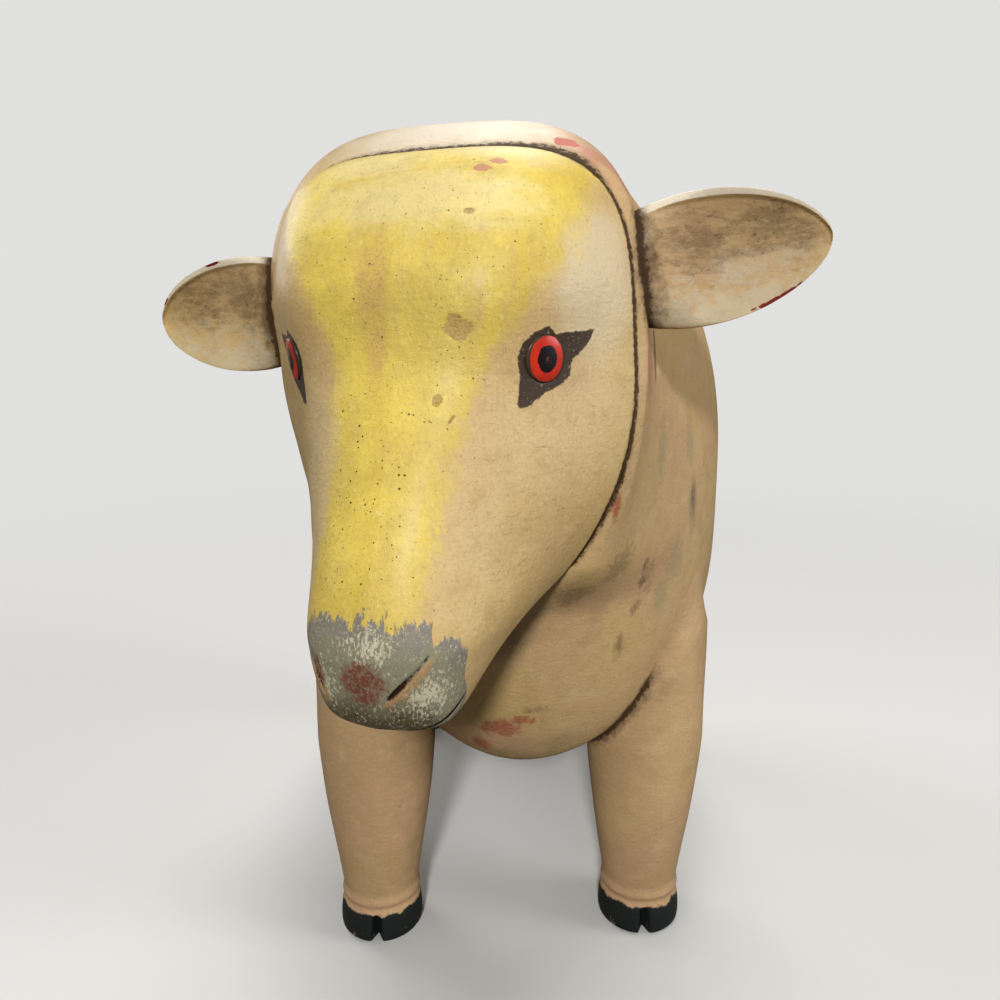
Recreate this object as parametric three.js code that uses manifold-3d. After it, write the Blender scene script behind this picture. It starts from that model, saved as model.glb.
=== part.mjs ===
// A carved and painted wooden sheep, standing with its head turned to its right.
// The figure is glued up from separate carved pieces: a body block with the neck on it, a head block on
// dowels, four legs on dowels, and ears, eyes and a tail that plug in with round spigots.
// Millimetres, +Z up, +X to the animal's left, -Y the way the body faces.
import * as THREE from 'three';
import { mergeVertices } from 'three/addons/utils/BufferGeometryUtils.js';
import Module from 'manifold-3d';

const wasm = await Module();
wasm.setup();

// Legs and stance
const BELLY_CLEARANCE = 48;
const STANCE_WIDTH = 70;
const HIND_LEGS_FROM_RUMP = 43;
const HOOF_DIAMETER = 21.6;
const HOOF_HEIGHT = 9.5;
const HOOF_CLEFT_WIDTH = 3;
const HOOF_CLEFT_DEPTH = 3.5;
const HOOF_EDGE = 0.8;
const CORONET_GROOVE = 1;
const CORONET_HEIGHT = 1.4;
const ANKLE_HEIGHT = 13;
const ANKLE_DIAMETER = 19.8;
const LEG_TOP_DIAMETER = 30.5;
const LEG_FULL_ABOVE_BELLY = 6;
const SHOULDER_STRAIGHT = 22;
const SHOULDER_DOME = 32;
const SHOULDER_LEAN = 12;
const SHOULDER_CLOSING = THREE.MathUtils.degToRad(75);
const HIND_LEG_SWELL = 1.12;
const FRONT_RIGHT_STEP = 3;

// Body block
const BODY_WIDTH = 118;
const BACK_ABOVE_BELLY = 140;
const BODY_WIDEST_ABOVE_BELLY = 57;
const NECK_LENGTH = 80;
const BARREL_LENGTH = 58;
const RUMP_LENGTH = 62;
const RUMP_ROUNDNESS = 2.3;
const RUMP_CLOSING = THREE.MathUtils.degToRad(85);
const BODY_UPPER_ROUNDNESS = 2.5;
const BODY_LOWER_ROUNDNESS = 2.8;
const CHEST_DEPTH = 46;
const CREST_RISE = 11.5;
const CREST_FROM_SEAM = 28;
const CREST_FALL = 80;
const NECK_FLARE = 0.15;
const SEAM_TO_FRONT_LEGS = 42;
const HEAD_TURN = THREE.MathUtils.degToRad(16);
const HEAD_SHIFT = 13.6;
const CREST_LEAN_HELD = 20;
const CREST_LEAN_RUN = 68;
const CHEST_LEAN_RUN = 36;
const THROAT_DEPTH = 7;
const THROAT_ABOVE_JAW = 15;
const THROAT_RUN = 34;

// Head block
const HEAD_WIDTH = 71.6;
const CROWN_HEIGHT = 40;
const JAW_DROP = 51;
const HEAD_WIDEST_ABOVE_BELLY = 99;
const SEAM_UPPER_ROUNDNESS = 3.6;
const SEAM_LOWER_ROUNDNESS = 1.8;
const JAW_OFFSET = 1.75;
const JAW_OFFSET_ABOVE_WIDEST = 20;
const JAW_OFFSET_BELOW_WIDEST = 22;
const BROW_REACH = 26.5;
const BROW_ROUNDNESS = 2.1;
const NOSE_BRIDGE_REACH = 34.5;
const NOSE_BRIDGE_DROP = 20;
const NOSE_TOP_REACH = 40.4;
const NOSE_TOP_DROP = 36;
const MUZZLE_REACH = 41.2;
const MUZZLE_DROP = 45;
const LIP_REACH = 38;
const LIP_DROP = 54.4;
const CHIN_REACH = 29.5;
const CHIN_DROP = 57;
const BROW_WIDTH = 45;
const NOSE_BRIDGE_WIDTH = 23;
const MUZZLE_WIDTH = 30.5;
const NOSTRIL_LENGTH = 9;
const NOSTRIL_WIDTH = 2;

// Places on the head: a level is the share of the way down from the crown, and around is the share of the way
// from the left seam edge over the nose to the right seam edge.
const BROW_TAPER = { from: 0.38, to: 0.6 };
const MUZZLE_FLARE = { from: 0.64, to: 0.78 };
const CHEEK_EDGE = { crown: 1.3, cheek: 2.1, settled: 0.4 };
const MUZZLE_CLOSING = { from: 0.8, roundness: 3.2 };
const CROWN_CORNER_LIMIT = 0.72;
const FACE_FLATNESS = 0.97;
const NOSTRIL_TOP = { level: 0.77, around: 0.36 };
const NOSTRIL_FOOT = { level: 0.84, around: 0.44 };
const LEFT_EYE = { level: 0.485, around: 0.142 };
const RIGHT_EYE = { level: 0.485, around: 0.868 };

// Ears
const EAR_LENGTH = 33;
const EAR_WIDTH = 23.8;
const EAR_CAMBER = 2;
const EAR_THICKNESS = 3;
const EAR_TIP_THICKNESS = 1;
const EAR_ROOT_THICKNESS = 8.5;
const EAR_CUP_DEPTH = 4.5;
const EAR_WIDEST_AT = 9;
const EAR_POINT = 0.76;
const EAR_ROOT_NARROWING = 0.12;
const EAR_THINNED_AT = 16;
const EAR_ROOT_RUN = 7;
const EAR_EDGE_ROUNDNESS = 3;
const EAR_CLOSING = THREE.MathUtils.degToRad(85);
const EAR_BEHIND_SEAM = 6.2;
const EAR_SPIGOT_DIAMETER = 6;
const EAR_SPIGOT_LENGTH = 13;
const SPIGOT_ROOT = 3;
const EAR_SWEEP = THREE.MathUtils.degToRad(2);
const LEFT_EAR = { height: 18.6, lift: THREE.MathUtils.degToRad(7) };
const RIGHT_EAR = { height: 12.6, lift: THREE.MathUtils.degToRad(-4) };

// Eyes
const EYE_DIAMETER = 7.6;
const EYE_DOME = 0.9;
const EYE_SEAT_DEPTH = 1.2;
const EYE_SPIGOT_DIAMETER = 3;
const EYE_SPIGOT_LENGTH = 6;

// Tail
const TAIL_LENGTH = 58;
const TAIL_DIAMETER = 12;
const TAIL_ROOT_DIAMETER = 10;
const TAIL_TIP_DIAMETER = 5;
const TAIL_TIP_LENGTH = 17;
const TAIL_SET_OFF = 6.5;
const TAIL_LEAN_IN = 1.8;
const TAIL_ABOVE_WIDEST = 46;
const TAIL_SPIGOT_DIAMETER = 6;
const TAIL_SPIGOT_LENGTH = 14;

// Dowels and glue lines
const GLUE_GAP = 0.3;
const SEAM_GAP = 0.5;
const LEG_DOWEL_DIAMETER = 9;
const LEG_DOWEL_LENGTH = 36;
const HEAD_DOWEL_DIAMETER = 8;
const HEAD_DOWEL_IN_HEAD = 13;
const HEAD_DOWEL_IN_NECK = 20;
const UPPER_DOWEL_ABOVE_WIDEST = 14;
const LOWER_DOWEL_BELOW_WIDEST = 26;
const DOWEL_CHAMFER = 0.8;
const HOLE_END_ROOM = 1;
const CUT_OVERRUN = 2;

// Facet counts
const BODY_SIDES = 36;
const NECK_STATIONS = 12;
const RUMP_STATIONS = 8;
const HEAD_STATIONS = 24;
const HEAD_ARC_STEPS = 24;
const LEG_SIDES = 20;
const EAR_STATIONS = 9;
const EAR_ARC_STEPS = 8;
const ROUND_SIDES = 12;
const EYE_SIDES = 16;
const EYE_STEPS = 5;
const TAIL_STEPS = 12;
const LEG_STEPS = 4;
const BROW_STEPS = 4;
const MERGE_TOLERANCE = 1e-4;

// Heights above the floor
const BODY_WIDEST_Z = BELLY_CLEARANCE + BODY_WIDEST_ABOVE_BELLY;
const BACK_Z = BELLY_CLEARANCE + BACK_ABOVE_BELLY;
const HEAD_WIDEST_Z = BELLY_CLEARANCE + HEAD_WIDEST_ABOVE_BELLY;
const CROWN_Z = HEAD_WIDEST_Z + CROWN_HEIGHT;
const JAW_Z = HEAD_WIDEST_Z - JAW_DROP;
const THROAT_Z = JAW_Z + THROAT_ABOVE_JAW;
const RUMP_Y = NECK_LENGTH + BARREL_LENGTH - SEAM_TO_FRONT_LEGS;

const PAINT = {
  cream: new THREE.MeshStandardMaterial({ color: 0xcfb184, roughness: 0.5, metalness: 0 }),
  yellow: new THREE.MeshStandardMaterial({ color: 0xe0c65c, roughness: 0.45, metalness: 0 }),
  ear: new THREE.MeshStandardMaterial({ color: 0xbfa77c, roughness: 0.5, metalness: 0 }),
  red: new THREE.MeshStandardMaterial({ color: 0xc8341f, roughness: 0.2, metalness: 0 }),
  bare: new THREE.MeshStandardMaterial({ color: 0xb08a5c, roughness: 0.75, metalness: 0 }),
};

const { lerp, clamp } = THREE.MathUtils;

// A smooth step from 0 to 1 that starts with the given slope and ends level.
function ease(u, startSlope) {
  const v = clamp(u, 0, 1);
  return (v ** 3 - 2 * v ** 2 + v) * startSlope + 3 * v ** 2 - 2 * v ** 3;
}

// cos or sin of a superellipse: the sign is kept and the size is raised to 2 / roundness.
function bulge(value, roundness) {
  return Math.sign(value) * Math.abs(value) ** (2 / roundness);
}

// A geometry with its coinciding points joined and the triangles that this flattens dropped.
function merged(geometry) {
  const bare = new THREE.BufferGeometry();
  bare.setAttribute('position', geometry.getAttribute('position'));
  bare.setIndex(geometry.index);
  const joined = mergeVertices(bare, MERGE_TOLERANCE);
  const kept = [];
  for (let i = 0; i < joined.index.count; i += 3) {
    const [a, b, c] = joined.index.array.slice(i, i + 3);
    if (a !== b && b !== c && c !== a) kept.push(a, b, c);
  }
  joined.setIndex(kept);
  return joined;
}

function closedGeometry(points, triangles) {
  const loose = new THREE.BufferGeometry().setFromPoints(points);
  loose.setIndex(triangles);
  return merged(loose);
}

// A skin over rings of equal count, each turning anticlockwise about the way from first to last,
// closed by a fan at both ends.
function loft(rings) {
  const count = rings[0].length;
  const points = rings.flat();
  const triangles = [];
  for (let r = 0; r + 1 < rings.length; r++) {
    for (let i = 0; i < count; i++) {
      const j = (i + 1) % count;
      const [a, b] = [r * count + i, r * count + j];
      triangles.push(a, b, b + count, a, b + count, a + count);
    }
  }
  for (const [ring, flip] of [[0, true], [rings.length - 1, false]]) {
    const centre = new THREE.Vector3();
    rings[ring].forEach((p) => centre.addScaledVector(p, 1 / count));
    const hub = points.push(centre) - 1;
    for (let i = 0; i < count; i++) {
      const [a, b] = [ring * count + i, ring * count + ((i + 1) % count)];
      triangles.push(...(flip ? [hub, b, a] : [hub, a, b]));
    }
  }
  return closedGeometry(points, triangles);
}

function toSolid(geometry) {
  const closed = merged(geometry);
  const vertProperties = new Float32Array(closed.attributes.position.array);
  const triVerts = new Uint32Array(closed.index.array);
  return new wasm.Manifold(new wasm.Mesh({ numProp: 3, vertProperties, triVerts }));
}

function toGeometry(solid) {
  const mesh = solid.getMesh();
  const points = [];
  for (let i = 0; i < mesh.numVert; i++) {
    points.push(new THREE.Vector3().fromArray(mesh.vertProperties, i * mesh.numProp));
  }
  const geometry = new THREE.BufferGeometry().setFromPoints(points);
  geometry.setIndex([...mesh.triVerts]);
  geometry.computeVertexNormals();
  return geometry;
}

function cut(geometry, ...cutters) {
  return toGeometry(cutters.reduce((left, cutter) => left.subtract(toSolid(cutter)), toSolid(geometry)));
}

function join(...geometries) {
  const [first, ...rest] = geometries.map(toSolid);
  return toGeometry(rest.reduce((whole, piece) => whole.add(piece), first));
}

// A round bar along +Z from z = 0, with chamfered ends.
function roundBar(diameter, length, chamfer = 0) {
  const radius = diameter / 2;
  const profile = [new THREE.Vector2(0, 0), new THREE.Vector2(radius - chamfer, 0)];
  if (chamfer > 0) {
    profile.push(new THREE.Vector2(radius, chamfer), new THREE.Vector2(radius, length - chamfer));
  }
  profile.push(new THREE.Vector2(radius - chamfer, length), new THREE.Vector2(0, length));
  return new THREE.LatheGeometry(profile, ROUND_SIDES).rotateX(Math.PI / 2);
}

// The same bar laid from a point along a direction.
function barAlong(start, direction, diameter, length, chamfer = 0) {
  const turn = new THREE.Quaternion().setFromUnitVectors(new THREE.Vector3(0, 0, 1), direction);
  return roundBar(diameter, length, chamfer)
    .applyQuaternion(turn)
    .translate(start.x, start.y, start.z);
}

// The body is built in sections along its length, counted back from the seam behind the head. The front legs
// stand at y = 0. Each section turns with the neck, and leans towards the head's side, most at the crest.
function sectionTurn(fromSeam) {
  return HEAD_TURN * (1 - ease(fromSeam / NECK_LENGTH, 0));
}

function sectionShift(fromSeam, height) {
  const held = CREST_LEAN_HELD * height ** 3;
  const run = lerp(CHEST_LEAN_RUN, CREST_LEAN_RUN, height);
  return -HEAD_SHIFT * (1 - ease((fromSeam - held) / run, 1 - height));
}

// How far to its left the head is carved off its middle line at a height.
function jawOffset(z) {
  const lowest = HEAD_WIDEST_Z - JAW_OFFSET_BELOW_WIDEST;
  return JAW_OFFSET * (1 - ease((z - lowest) / (JAW_OFFSET_ABOVE_WIDEST + JAW_OFFSET_BELOW_WIDEST), 0));
}

// How far the throat falls back from the jaw that hangs over it.
function throatDepth(fromSeam, z) {
  return THROAT_DEPTH * ease((THROAT_Z - z) / THROAT_ABOVE_JAW, 0) * (1 - ease(fromSeam / THROAT_RUN, 0));
}

// Half width, heights and roundness of the body across the spine, from the seam to the end of the rump.
function bodySection(fromSeam) {
  const along = fromSeam / NECK_LENGTH;
  const widen = ease(along, NECK_FLARE);
  const settle = ease(along, 0);
  const chest = clamp(fromSeam / CHEST_DEPTH, 0, 1);
  const rising = Math.sin((Math.PI / 2) * clamp(fromSeam / CREST_FROM_SEAM, 0, 1));
  const falling = Math.cos((Math.PI / 2) * clamp((fromSeam - CREST_FROM_SEAM) / CREST_FALL, 0, 1)) ** 2;
  const rump = clamp((fromSeam - NECK_LENGTH - BARREL_LENGTH) / RUMP_LENGTH, 0, 1);
  const shrink = (1 - rump ** RUMP_ROUNDNESS) ** (1 / RUMP_ROUNDNESS);
  const widest = lerp(HEAD_WIDEST_Z, BODY_WIDEST_Z, settle);
  const top = lerp(CROWN_Z, BACK_Z, settle) + CREST_RISE * rising * falling;
  const bottom = BELLY_CLEARANCE + (JAW_Z - BELLY_CLEARANCE) * (1 - Math.sqrt(1 - (1 - chest) ** 2));
  return {
    halfWidth: lerp(HEAD_WIDTH, BODY_WIDTH, widen) / 2 * shrink,
    widest,
    rise: (top - widest) * shrink,
    drop: (widest - bottom) * shrink,
    upperRoundness: lerp(SEAM_UPPER_ROUNDNESS, BODY_UPPER_ROUNDNESS, settle),
    lowerRoundness: lerp(SEAM_LOWER_ROUNDNESS, BODY_LOWER_ROUNDNESS, settle),
  };
}

// A point of a section's left half, by its share of the way from the top (0) past the widest line (0.5)
// to the bottom (1).
function sectionPoint(section, share, grow = 0) {
  const up = share <= 0.5;
  const roundness = up ? section.upperRoundness : section.lowerRoundness;
  const reach = up ? section.rise + grow : -section.drop - grow;
  const angle = (Math.PI / 2) * Math.abs(1 - 2 * share) ** (0.5 + roundness / 4);
  return {
    x: (section.halfWidth + grow) * bulge(Math.max(0, Math.cos(angle)), roundness),
    z: section.widest + reach * bulge(Math.sin(angle), roundness),
  };
}

function bodyStations() {
  const stations = [];
  for (let i = 0; i < NECK_STATIONS; i++) {
    stations.push(NECK_LENGTH * (1 - Math.cos((Math.PI / 2) * (i / NECK_STATIONS))));
  }
  stations.push(NECK_LENGTH, NECK_LENGTH + BARREL_LENGTH / 2);
  for (let i = 0; i < RUMP_STATIONS; i++) {
    const swing = Math.sin(RUMP_CLOSING * (i / (RUMP_STATIONS - 1)));
    stations.push(NECK_LENGTH + BARREL_LENGTH + RUMP_LENGTH * swing);
  }
  return stations;
}

// The points round one section. Those under the lowest height are lifted to it.
function bodyRing(fromSeam, grow, lowest = 0) {
  const section = bodySection(fromSeam);
  const turn = sectionTurn(fromSeam);
  const half = BODY_SIDES / 2;
  return Array.from({ length: BODY_SIDES }, (_, i) => {
    const p = sectionPoint(section, i <= half ? i / half : 2 - i / half, grow);
    const z = Math.max(p.z, lowest);
    const across = (i <= half ? p.x : -p.x) + jawOffset(z) * (1 - ease(fromSeam / NECK_LENGTH, 0));
    const height = (z - section.widest + section.drop) / (section.rise + section.drop);
    return new THREE.Vector3(
      sectionShift(fromSeam, clamp(height, 0, 1)) + across * Math.cos(turn),
      fromSeam - SEAM_TO_FRONT_LEGS - across * Math.sin(turn) + throatDepth(fromSeam, z),
      z,
    );
  });
}

// The body block as a plain skin, grown outwards by a glue gap where it cuts its neighbours. Its first ring is
// the edge of the flat that the head is glued to, which ends above the throat.
function bodySkin(grow = 0) {
  return loft([bodyRing(0, grow, THROAT_Z), ...bodyStations().map((fromSeam) => bodyRing(fromSeam, grow))]);
}

// Height of the body's underside at a distance from the spine.
function undersideZ(fromSeam, offset) {
  const { widest, drop, halfWidth, lowerRoundness } = bodySection(fromSeam);
  return widest - drop * (1 - Math.abs(offset / halfWidth) ** lowerRoundness) ** (1 / lowerRoundness);
}

// The head's own frame: x to the animal's left, -y forward from the seam, z up from the floor.
const headFrame = new THREE.Group();
headFrame.position.set(-HEAD_SHIFT, -SEAM_TO_FRONT_LEGS, 0);
headFrame.rotation.z = -HEAD_TURN;

// The face from the crown over the brow and down the nose to the chin, as reach forward and height.
const faceSpot = (reach, drop) => new THREE.Vector2(reach, HEAD_WIDEST_Z - drop);
const facePoints = [
  ...Array.from({ length: BROW_STEPS + 1 }, (_, i) => {
    const angle = (Math.PI / 2) * (1 - i / BROW_STEPS);
    return faceSpot(
      BROW_REACH * bulge(Math.cos(angle), BROW_ROUNDNESS),
      -CROWN_HEIGHT * bulge(Math.sin(angle), BROW_ROUNDNESS),
    );
  }),
  faceSpot(NOSE_BRIDGE_REACH, NOSE_BRIDGE_DROP),
  faceSpot(NOSE_TOP_REACH, NOSE_TOP_DROP),
  faceSpot(MUZZLE_REACH, MUZZLE_DROP),
  faceSpot(LIP_REACH, LIP_DROP),
  faceSpot(CHIN_REACH, CHIN_DROP),
];
const faceCurve = new THREE.SplineCurve(facePoints);

// The face point at a level: 0 at the crown, 0.5 at the widest line, 1 at the chin.
function facePoint(level) {
  const browEnd = BROW_STEPS / (facePoints.length - 1);
  const along = level <= 0.5 ? level * 2 * browEnd : browEnd + (level - 0.5) * 2 * (1 - browEnd);
  return faceCurve.getPoint(along);
}

// The share of the way through a band of levels, eased at both ends.
function through(band, level) {
  return ease((level - band.from) / (band.to - band.from), 0);
}

// A point of the head. Each half of a level is a conic that runs flat along the cheek from the seam edge
// and turns at the edge of the brow, nose or muzzle.
function headPoint(level, around) {
  const edge = sectionPoint(bodySection(0), level);
  const front = facePoint(level);
  const side = around <= 0.5 ? 1 : -1;
  const u = around <= 0.5 ? around * 2 : (1 - around) * 2;
  const taper = lerp(BROW_WIDTH, NOSE_BRIDGE_WIDTH, through(BROW_TAPER, level));
  const frontHalf = lerp(taper, MUZZLE_WIDTH, through(MUZZLE_FLARE, level)) / 2;
  const closing = clamp((level - MUZZLE_CLOSING.from) / (1 - MUZZLE_CLOSING.from), 0, 1);
  const muzzleHalf = frontHalf * (1 - closing ** MUZZLE_CLOSING.roundness) ** (1 / MUZZLE_CLOSING.roundness);
  const crownHalf = edge.x * lerp(CROWN_CORNER_LIMIT, 1, ease(level, 0));
  const cornerX = level < 0.5 ? Math.min(frontHalf, crownHalf) : muzzleHalf;
  const weight = lerp(CHEEK_EDGE.crown, CHEEK_EDGE.cheek, ease(level / CHEEK_EDGE.settled, 1));
  const [a, b, c] = [(1 - u) ** 2, 2 * weight * u * (1 - u), u ** 2];
  const x = (a * edge.x + b * cornerX) / (a + b + c);
  const forward = (b * FACE_FLATNESS + c) / (a + b + c);
  const z = lerp(edge.z, front.y, forward);
  return new THREE.Vector3(side * x + jawOffset(z), -SEAM_GAP - front.x * forward, z);
}

function headNormal(level, around) {
  const step = 0.01;
  const down = headPoint(level + step, around).sub(headPoint(level - step, around));
  const across = headPoint(level, around + step).sub(headPoint(level, around - step));
  return across.cross(down).normalize();
}

function headSkin() {
  const points = [];
  const triangles = [];
  const count = HEAD_ARC_STEPS + 1;
  for (let r = 0; r <= HEAD_STATIONS; r++) {
    for (let i = 0; i < count; i++) points.push(headPoint(r / HEAD_STATIONS, i / HEAD_ARC_STEPS));
  }
  const hub = points.push(new THREE.Vector3(0, -SEAM_GAP, HEAD_WIDEST_Z)) - 1;
  for (let r = 0; r < HEAD_STATIONS; r++) {
    const [top, below, last] = [r * count, (r + 1) * count, count - 1];
    for (let i = 0; i < last; i++) {
      triangles.push(top + i, top + i + 1, below + i + 1, top + i, below + i + 1, below + i);
    }
    triangles.push(hub, top, below, hub, below + last, top + last);
  }
  return closedGeometry(points, triangles);
}

// A leg standing on the floor at its own origin, run up into the body, where the body trims it.
function legSkin(side, swell) {
  const top = LEG_TOP_DIAMETER * swell;
  const full = BELLY_CLEARANCE + LEG_FULL_ABOVE_BELLY;
  const shoulder = full + SHOULDER_STRAIGHT;
  const profile = [
    [0, HOOF_DIAMETER - 2 * HOOF_EDGE],
    [HOOF_EDGE, HOOF_DIAMETER],
    [HOOF_HEIGHT - CORONET_HEIGHT, HOOF_DIAMETER - HOOF_EDGE],
    [HOOF_HEIGHT, HOOF_DIAMETER - 2 * CORONET_GROOVE],
    [HOOF_HEIGHT + CORONET_HEIGHT, HOOF_DIAMETER - CORONET_GROOVE],
    [ANKLE_HEIGHT, ANKLE_DIAMETER],
  ];
  for (let i = 1; i <= LEG_STEPS; i++) {
    const share = i / LEG_STEPS;
    const swelling = (share + Math.sin((Math.PI / 2) * share)) / 2;
    profile.push([lerp(ANKLE_HEIGHT, full, share), lerp(ANKLE_DIAMETER, top, swelling)]);
  }
  for (let i = 0; i <= LEG_STEPS; i++) {
    const angle = SHOULDER_CLOSING * (i / LEG_STEPS);
    const lean = SHOULDER_LEAN * (1 - Math.cos(angle));
    profile.push([shoulder + SHOULDER_DOME * Math.sin(angle), top * Math.cos(angle), lean]);
  }
  return loft(profile.map(([z, diameter, lean = 0]) => Array.from({ length: LEG_SIDES }, (_, i) => {
    const angle = (2 * Math.PI * i) / LEG_SIDES;
    const x = Math.cos(angle) * diameter / 2 - side * lean;
    return new THREE.Vector3(x, Math.sin(angle) * diameter / 2, z);
  })));
}

// The upright notch that splits a hoof at the front.
function hoofCleft() {
  const half = HOOF_CLEFT_WIDTH / 2;
  const wedge = new THREE.Shape([
    new THREE.Vector2(-half, -CUT_OVERRUN), new THREE.Vector2(half, -CUT_OVERRUN),
    new THREE.Vector2(half, 0), new THREE.Vector2(0, HOOF_CLEFT_DEPTH), new THREE.Vector2(-half, 0),
  ]);
  const depth = HOOF_HEIGHT - CORONET_HEIGHT + CUT_OVERRUN;
  return new THREE.ExtrudeGeometry(wedge, { depth, bevelEnabled: false })
    .translate(0, -HOOF_DIAMETER / 2, -CUT_OVERRUN);
}

// An ear with its root at the origin, its length along x, its width along z and its cup open to -y.
function earSkin(side) {
  const rings = [];
  for (let r = -1; r <= EAR_STATIONS; r++) {
    const out = r < 0 ? 0 : EAR_LENGTH * Math.sin(EAR_CLOSING * (r / EAR_STATIONS));
    const inside = (EAR_WIDEST_AT - out) / EAR_WIDEST_AT;
    const beyond = (out - EAR_WIDEST_AT) / (EAR_LENGTH - EAR_WIDEST_AT);
    const taper = inside > 0 ? 1 - EAR_ROOT_NARROWING * inside ** 2 : (1 - beyond ** 2) ** EAR_POINT;
    const thinned = ease(out / EAR_THINNED_AT, 0);
    const hollow = EAR_CUP_DEPTH * thinned * taper;
    const blade = lerp(EAR_ROOT_THICKNESS, EAR_THICKNESS, thinned);
    const thickness = lerp(EAR_TIP_THICKNESS, blade, Math.sqrt(taper));
    const rise = EAR_CAMBER * (out / EAR_LENGTH) ** 2;
    const ring = [];
    for (let i = 0; i < 2 * EAR_ARC_STEPS; i++) {
      const angle = (Math.PI * i) / EAR_ARC_STEPS;
      const v = Math.cos(angle);
      const y = hollow * (0.5 - v * v) + (thickness / 2) * bulge(Math.sin(angle), EAR_EDGE_ROUNDNESS);
      const x = side * (r < 0 ? -EAR_ROOT_RUN : out);
      ring.push(new THREE.Vector3(x, y, (EAR_WIDTH / 2) * taper * v + rise));
    }
    rings.push(side > 0 ? ring.reverse() : ring);
  }
  return loft(rings);
}

// An eye along +Z with its flat seat at the origin: a dome in front and a round spigot behind.
function eyeSkin() {
  const rim = EYE_DIAMETER / 2;
  const profile = [
    new THREE.Vector2(0, -EYE_SPIGOT_LENGTH),
    new THREE.Vector2(EYE_SPIGOT_DIAMETER / 2, -EYE_SPIGOT_LENGTH),
    new THREE.Vector2(EYE_SPIGOT_DIAMETER / 2, 0),
    new THREE.Vector2(rim, 0),
  ];
  for (let i = 0; i < EYE_STEPS; i++) {
    const angle = (Math.PI / 2) * (i / EYE_STEPS);
    profile.push(new THREE.Vector2(rim * Math.cos(angle), EYE_SEAT_DEPTH + EYE_DOME * Math.sin(angle)));
  }
  profile.push(new THREE.Vector2(0, EYE_SEAT_DEPTH + EYE_DOME));
  return new THREE.LatheGeometry(profile, EYE_SIDES).rotateX(Math.PI / 2);
}

// The rump's rear outline above the widest line, seen from the side.
function rumpOutline(angle) {
  return new THREE.Vector3(
    0,
    RUMP_Y + RUMP_LENGTH * bulge(Math.cos(angle), RUMP_ROUNDNESS),
    BODY_WIDEST_Z + (BACK_Z - BODY_WIDEST_Z) * bulge(Math.sin(angle), RUMP_ROUNDNESS),
  );
}

const tailAngle = Math.asin((TAIL_ABOVE_WIDEST / (BACK_Z - BODY_WIDEST_Z)) ** (RUMP_ROUNDNESS / 2));
const tailSeat = rumpOutline(tailAngle);
const tailSlope = rumpOutline(tailAngle + 0.01).sub(rumpOutline(tailAngle - 0.01));
const tailOutward = new THREE.Vector3(0, tailSlope.z, -tailSlope.y).normalize();

// The tail starts at its seat, turns down over the rump's rear and is trimmed to it.
function tailSkin() {
  const hangY = RUMP_Y + RUMP_LENGTH + TAIL_DIAMETER / 2 - TAIL_LEAN_IN;
  const hang = new THREE.CatmullRomCurve3([
    tailSeat,
    tailSeat.clone().addScaledVector(tailOutward, TAIL_SET_OFF).add(new THREE.Vector3(0, 0, -TAIL_SET_OFF)),
    ...[1 / 2, 3 / 4, 1].map((share) => new THREE.Vector3(0, hangY, tailSeat.z - TAIL_LENGTH * share)),
  ]);
  const rings = [];
  for (let r = 0; r <= TAIL_STEPS; r++) {
    const u = r / TAIL_STEPS;
    const centre = hang.getPoint(u);
    const along = hang.getTangent(u);
    const out = new THREE.Vector3(0, along.z, -along.y);
    const toTip = (u - 1) * TAIL_LENGTH + TAIL_TIP_LENGTH;
    const swell = lerp(TAIL_ROOT_DIAMETER, TAIL_DIAMETER, Math.sin(Math.PI * u));
    const radius = lerp(swell, TAIL_TIP_DIAMETER, ease(toTip / TAIL_TIP_LENGTH, 0)) / 2;
    rings.push(Array.from({ length: ROUND_SIDES }, (_, i) => {
      const angle = (2 * Math.PI * i) / ROUND_SIDES;
      return centre.clone()
        .addScaledVector(out, radius * Math.sin(angle))
        .add(new THREE.Vector3(radius * Math.cos(angle), 0, 0));
    }));
  }
  return loft(rings);
}

const figure = new THREE.Group();
figure.add(headFrame);
const bodyHoles = [];

// A named piece, put at its place so that neighbours can be brought into its own frame.
function piece(name, material, parent, position = new THREE.Vector3(), rotation = new THREE.Euler()) {
  const mesh = new THREE.Mesh(undefined, material.clone());
  mesh.name = name;
  mesh.position.copy(position);
  mesh.rotation.copy(rotation);
  parent.add(mesh);
  mesh.updateWorldMatrix(true, false);
  return mesh;
}

function intoFrame(geometry, frame) {
  return geometry.clone().applyMatrix4(frame.matrixWorld.clone().invert());
}

function outOfFrame(geometry, frame) {
  return geometry.clone().applyMatrix4(frame.matrixWorld);
}

const grownBody = bodySkin(GLUE_GAP);
const hindLegsY = RUMP_Y + RUMP_LENGTH - HIND_LEGS_FROM_RUMP;

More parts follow.
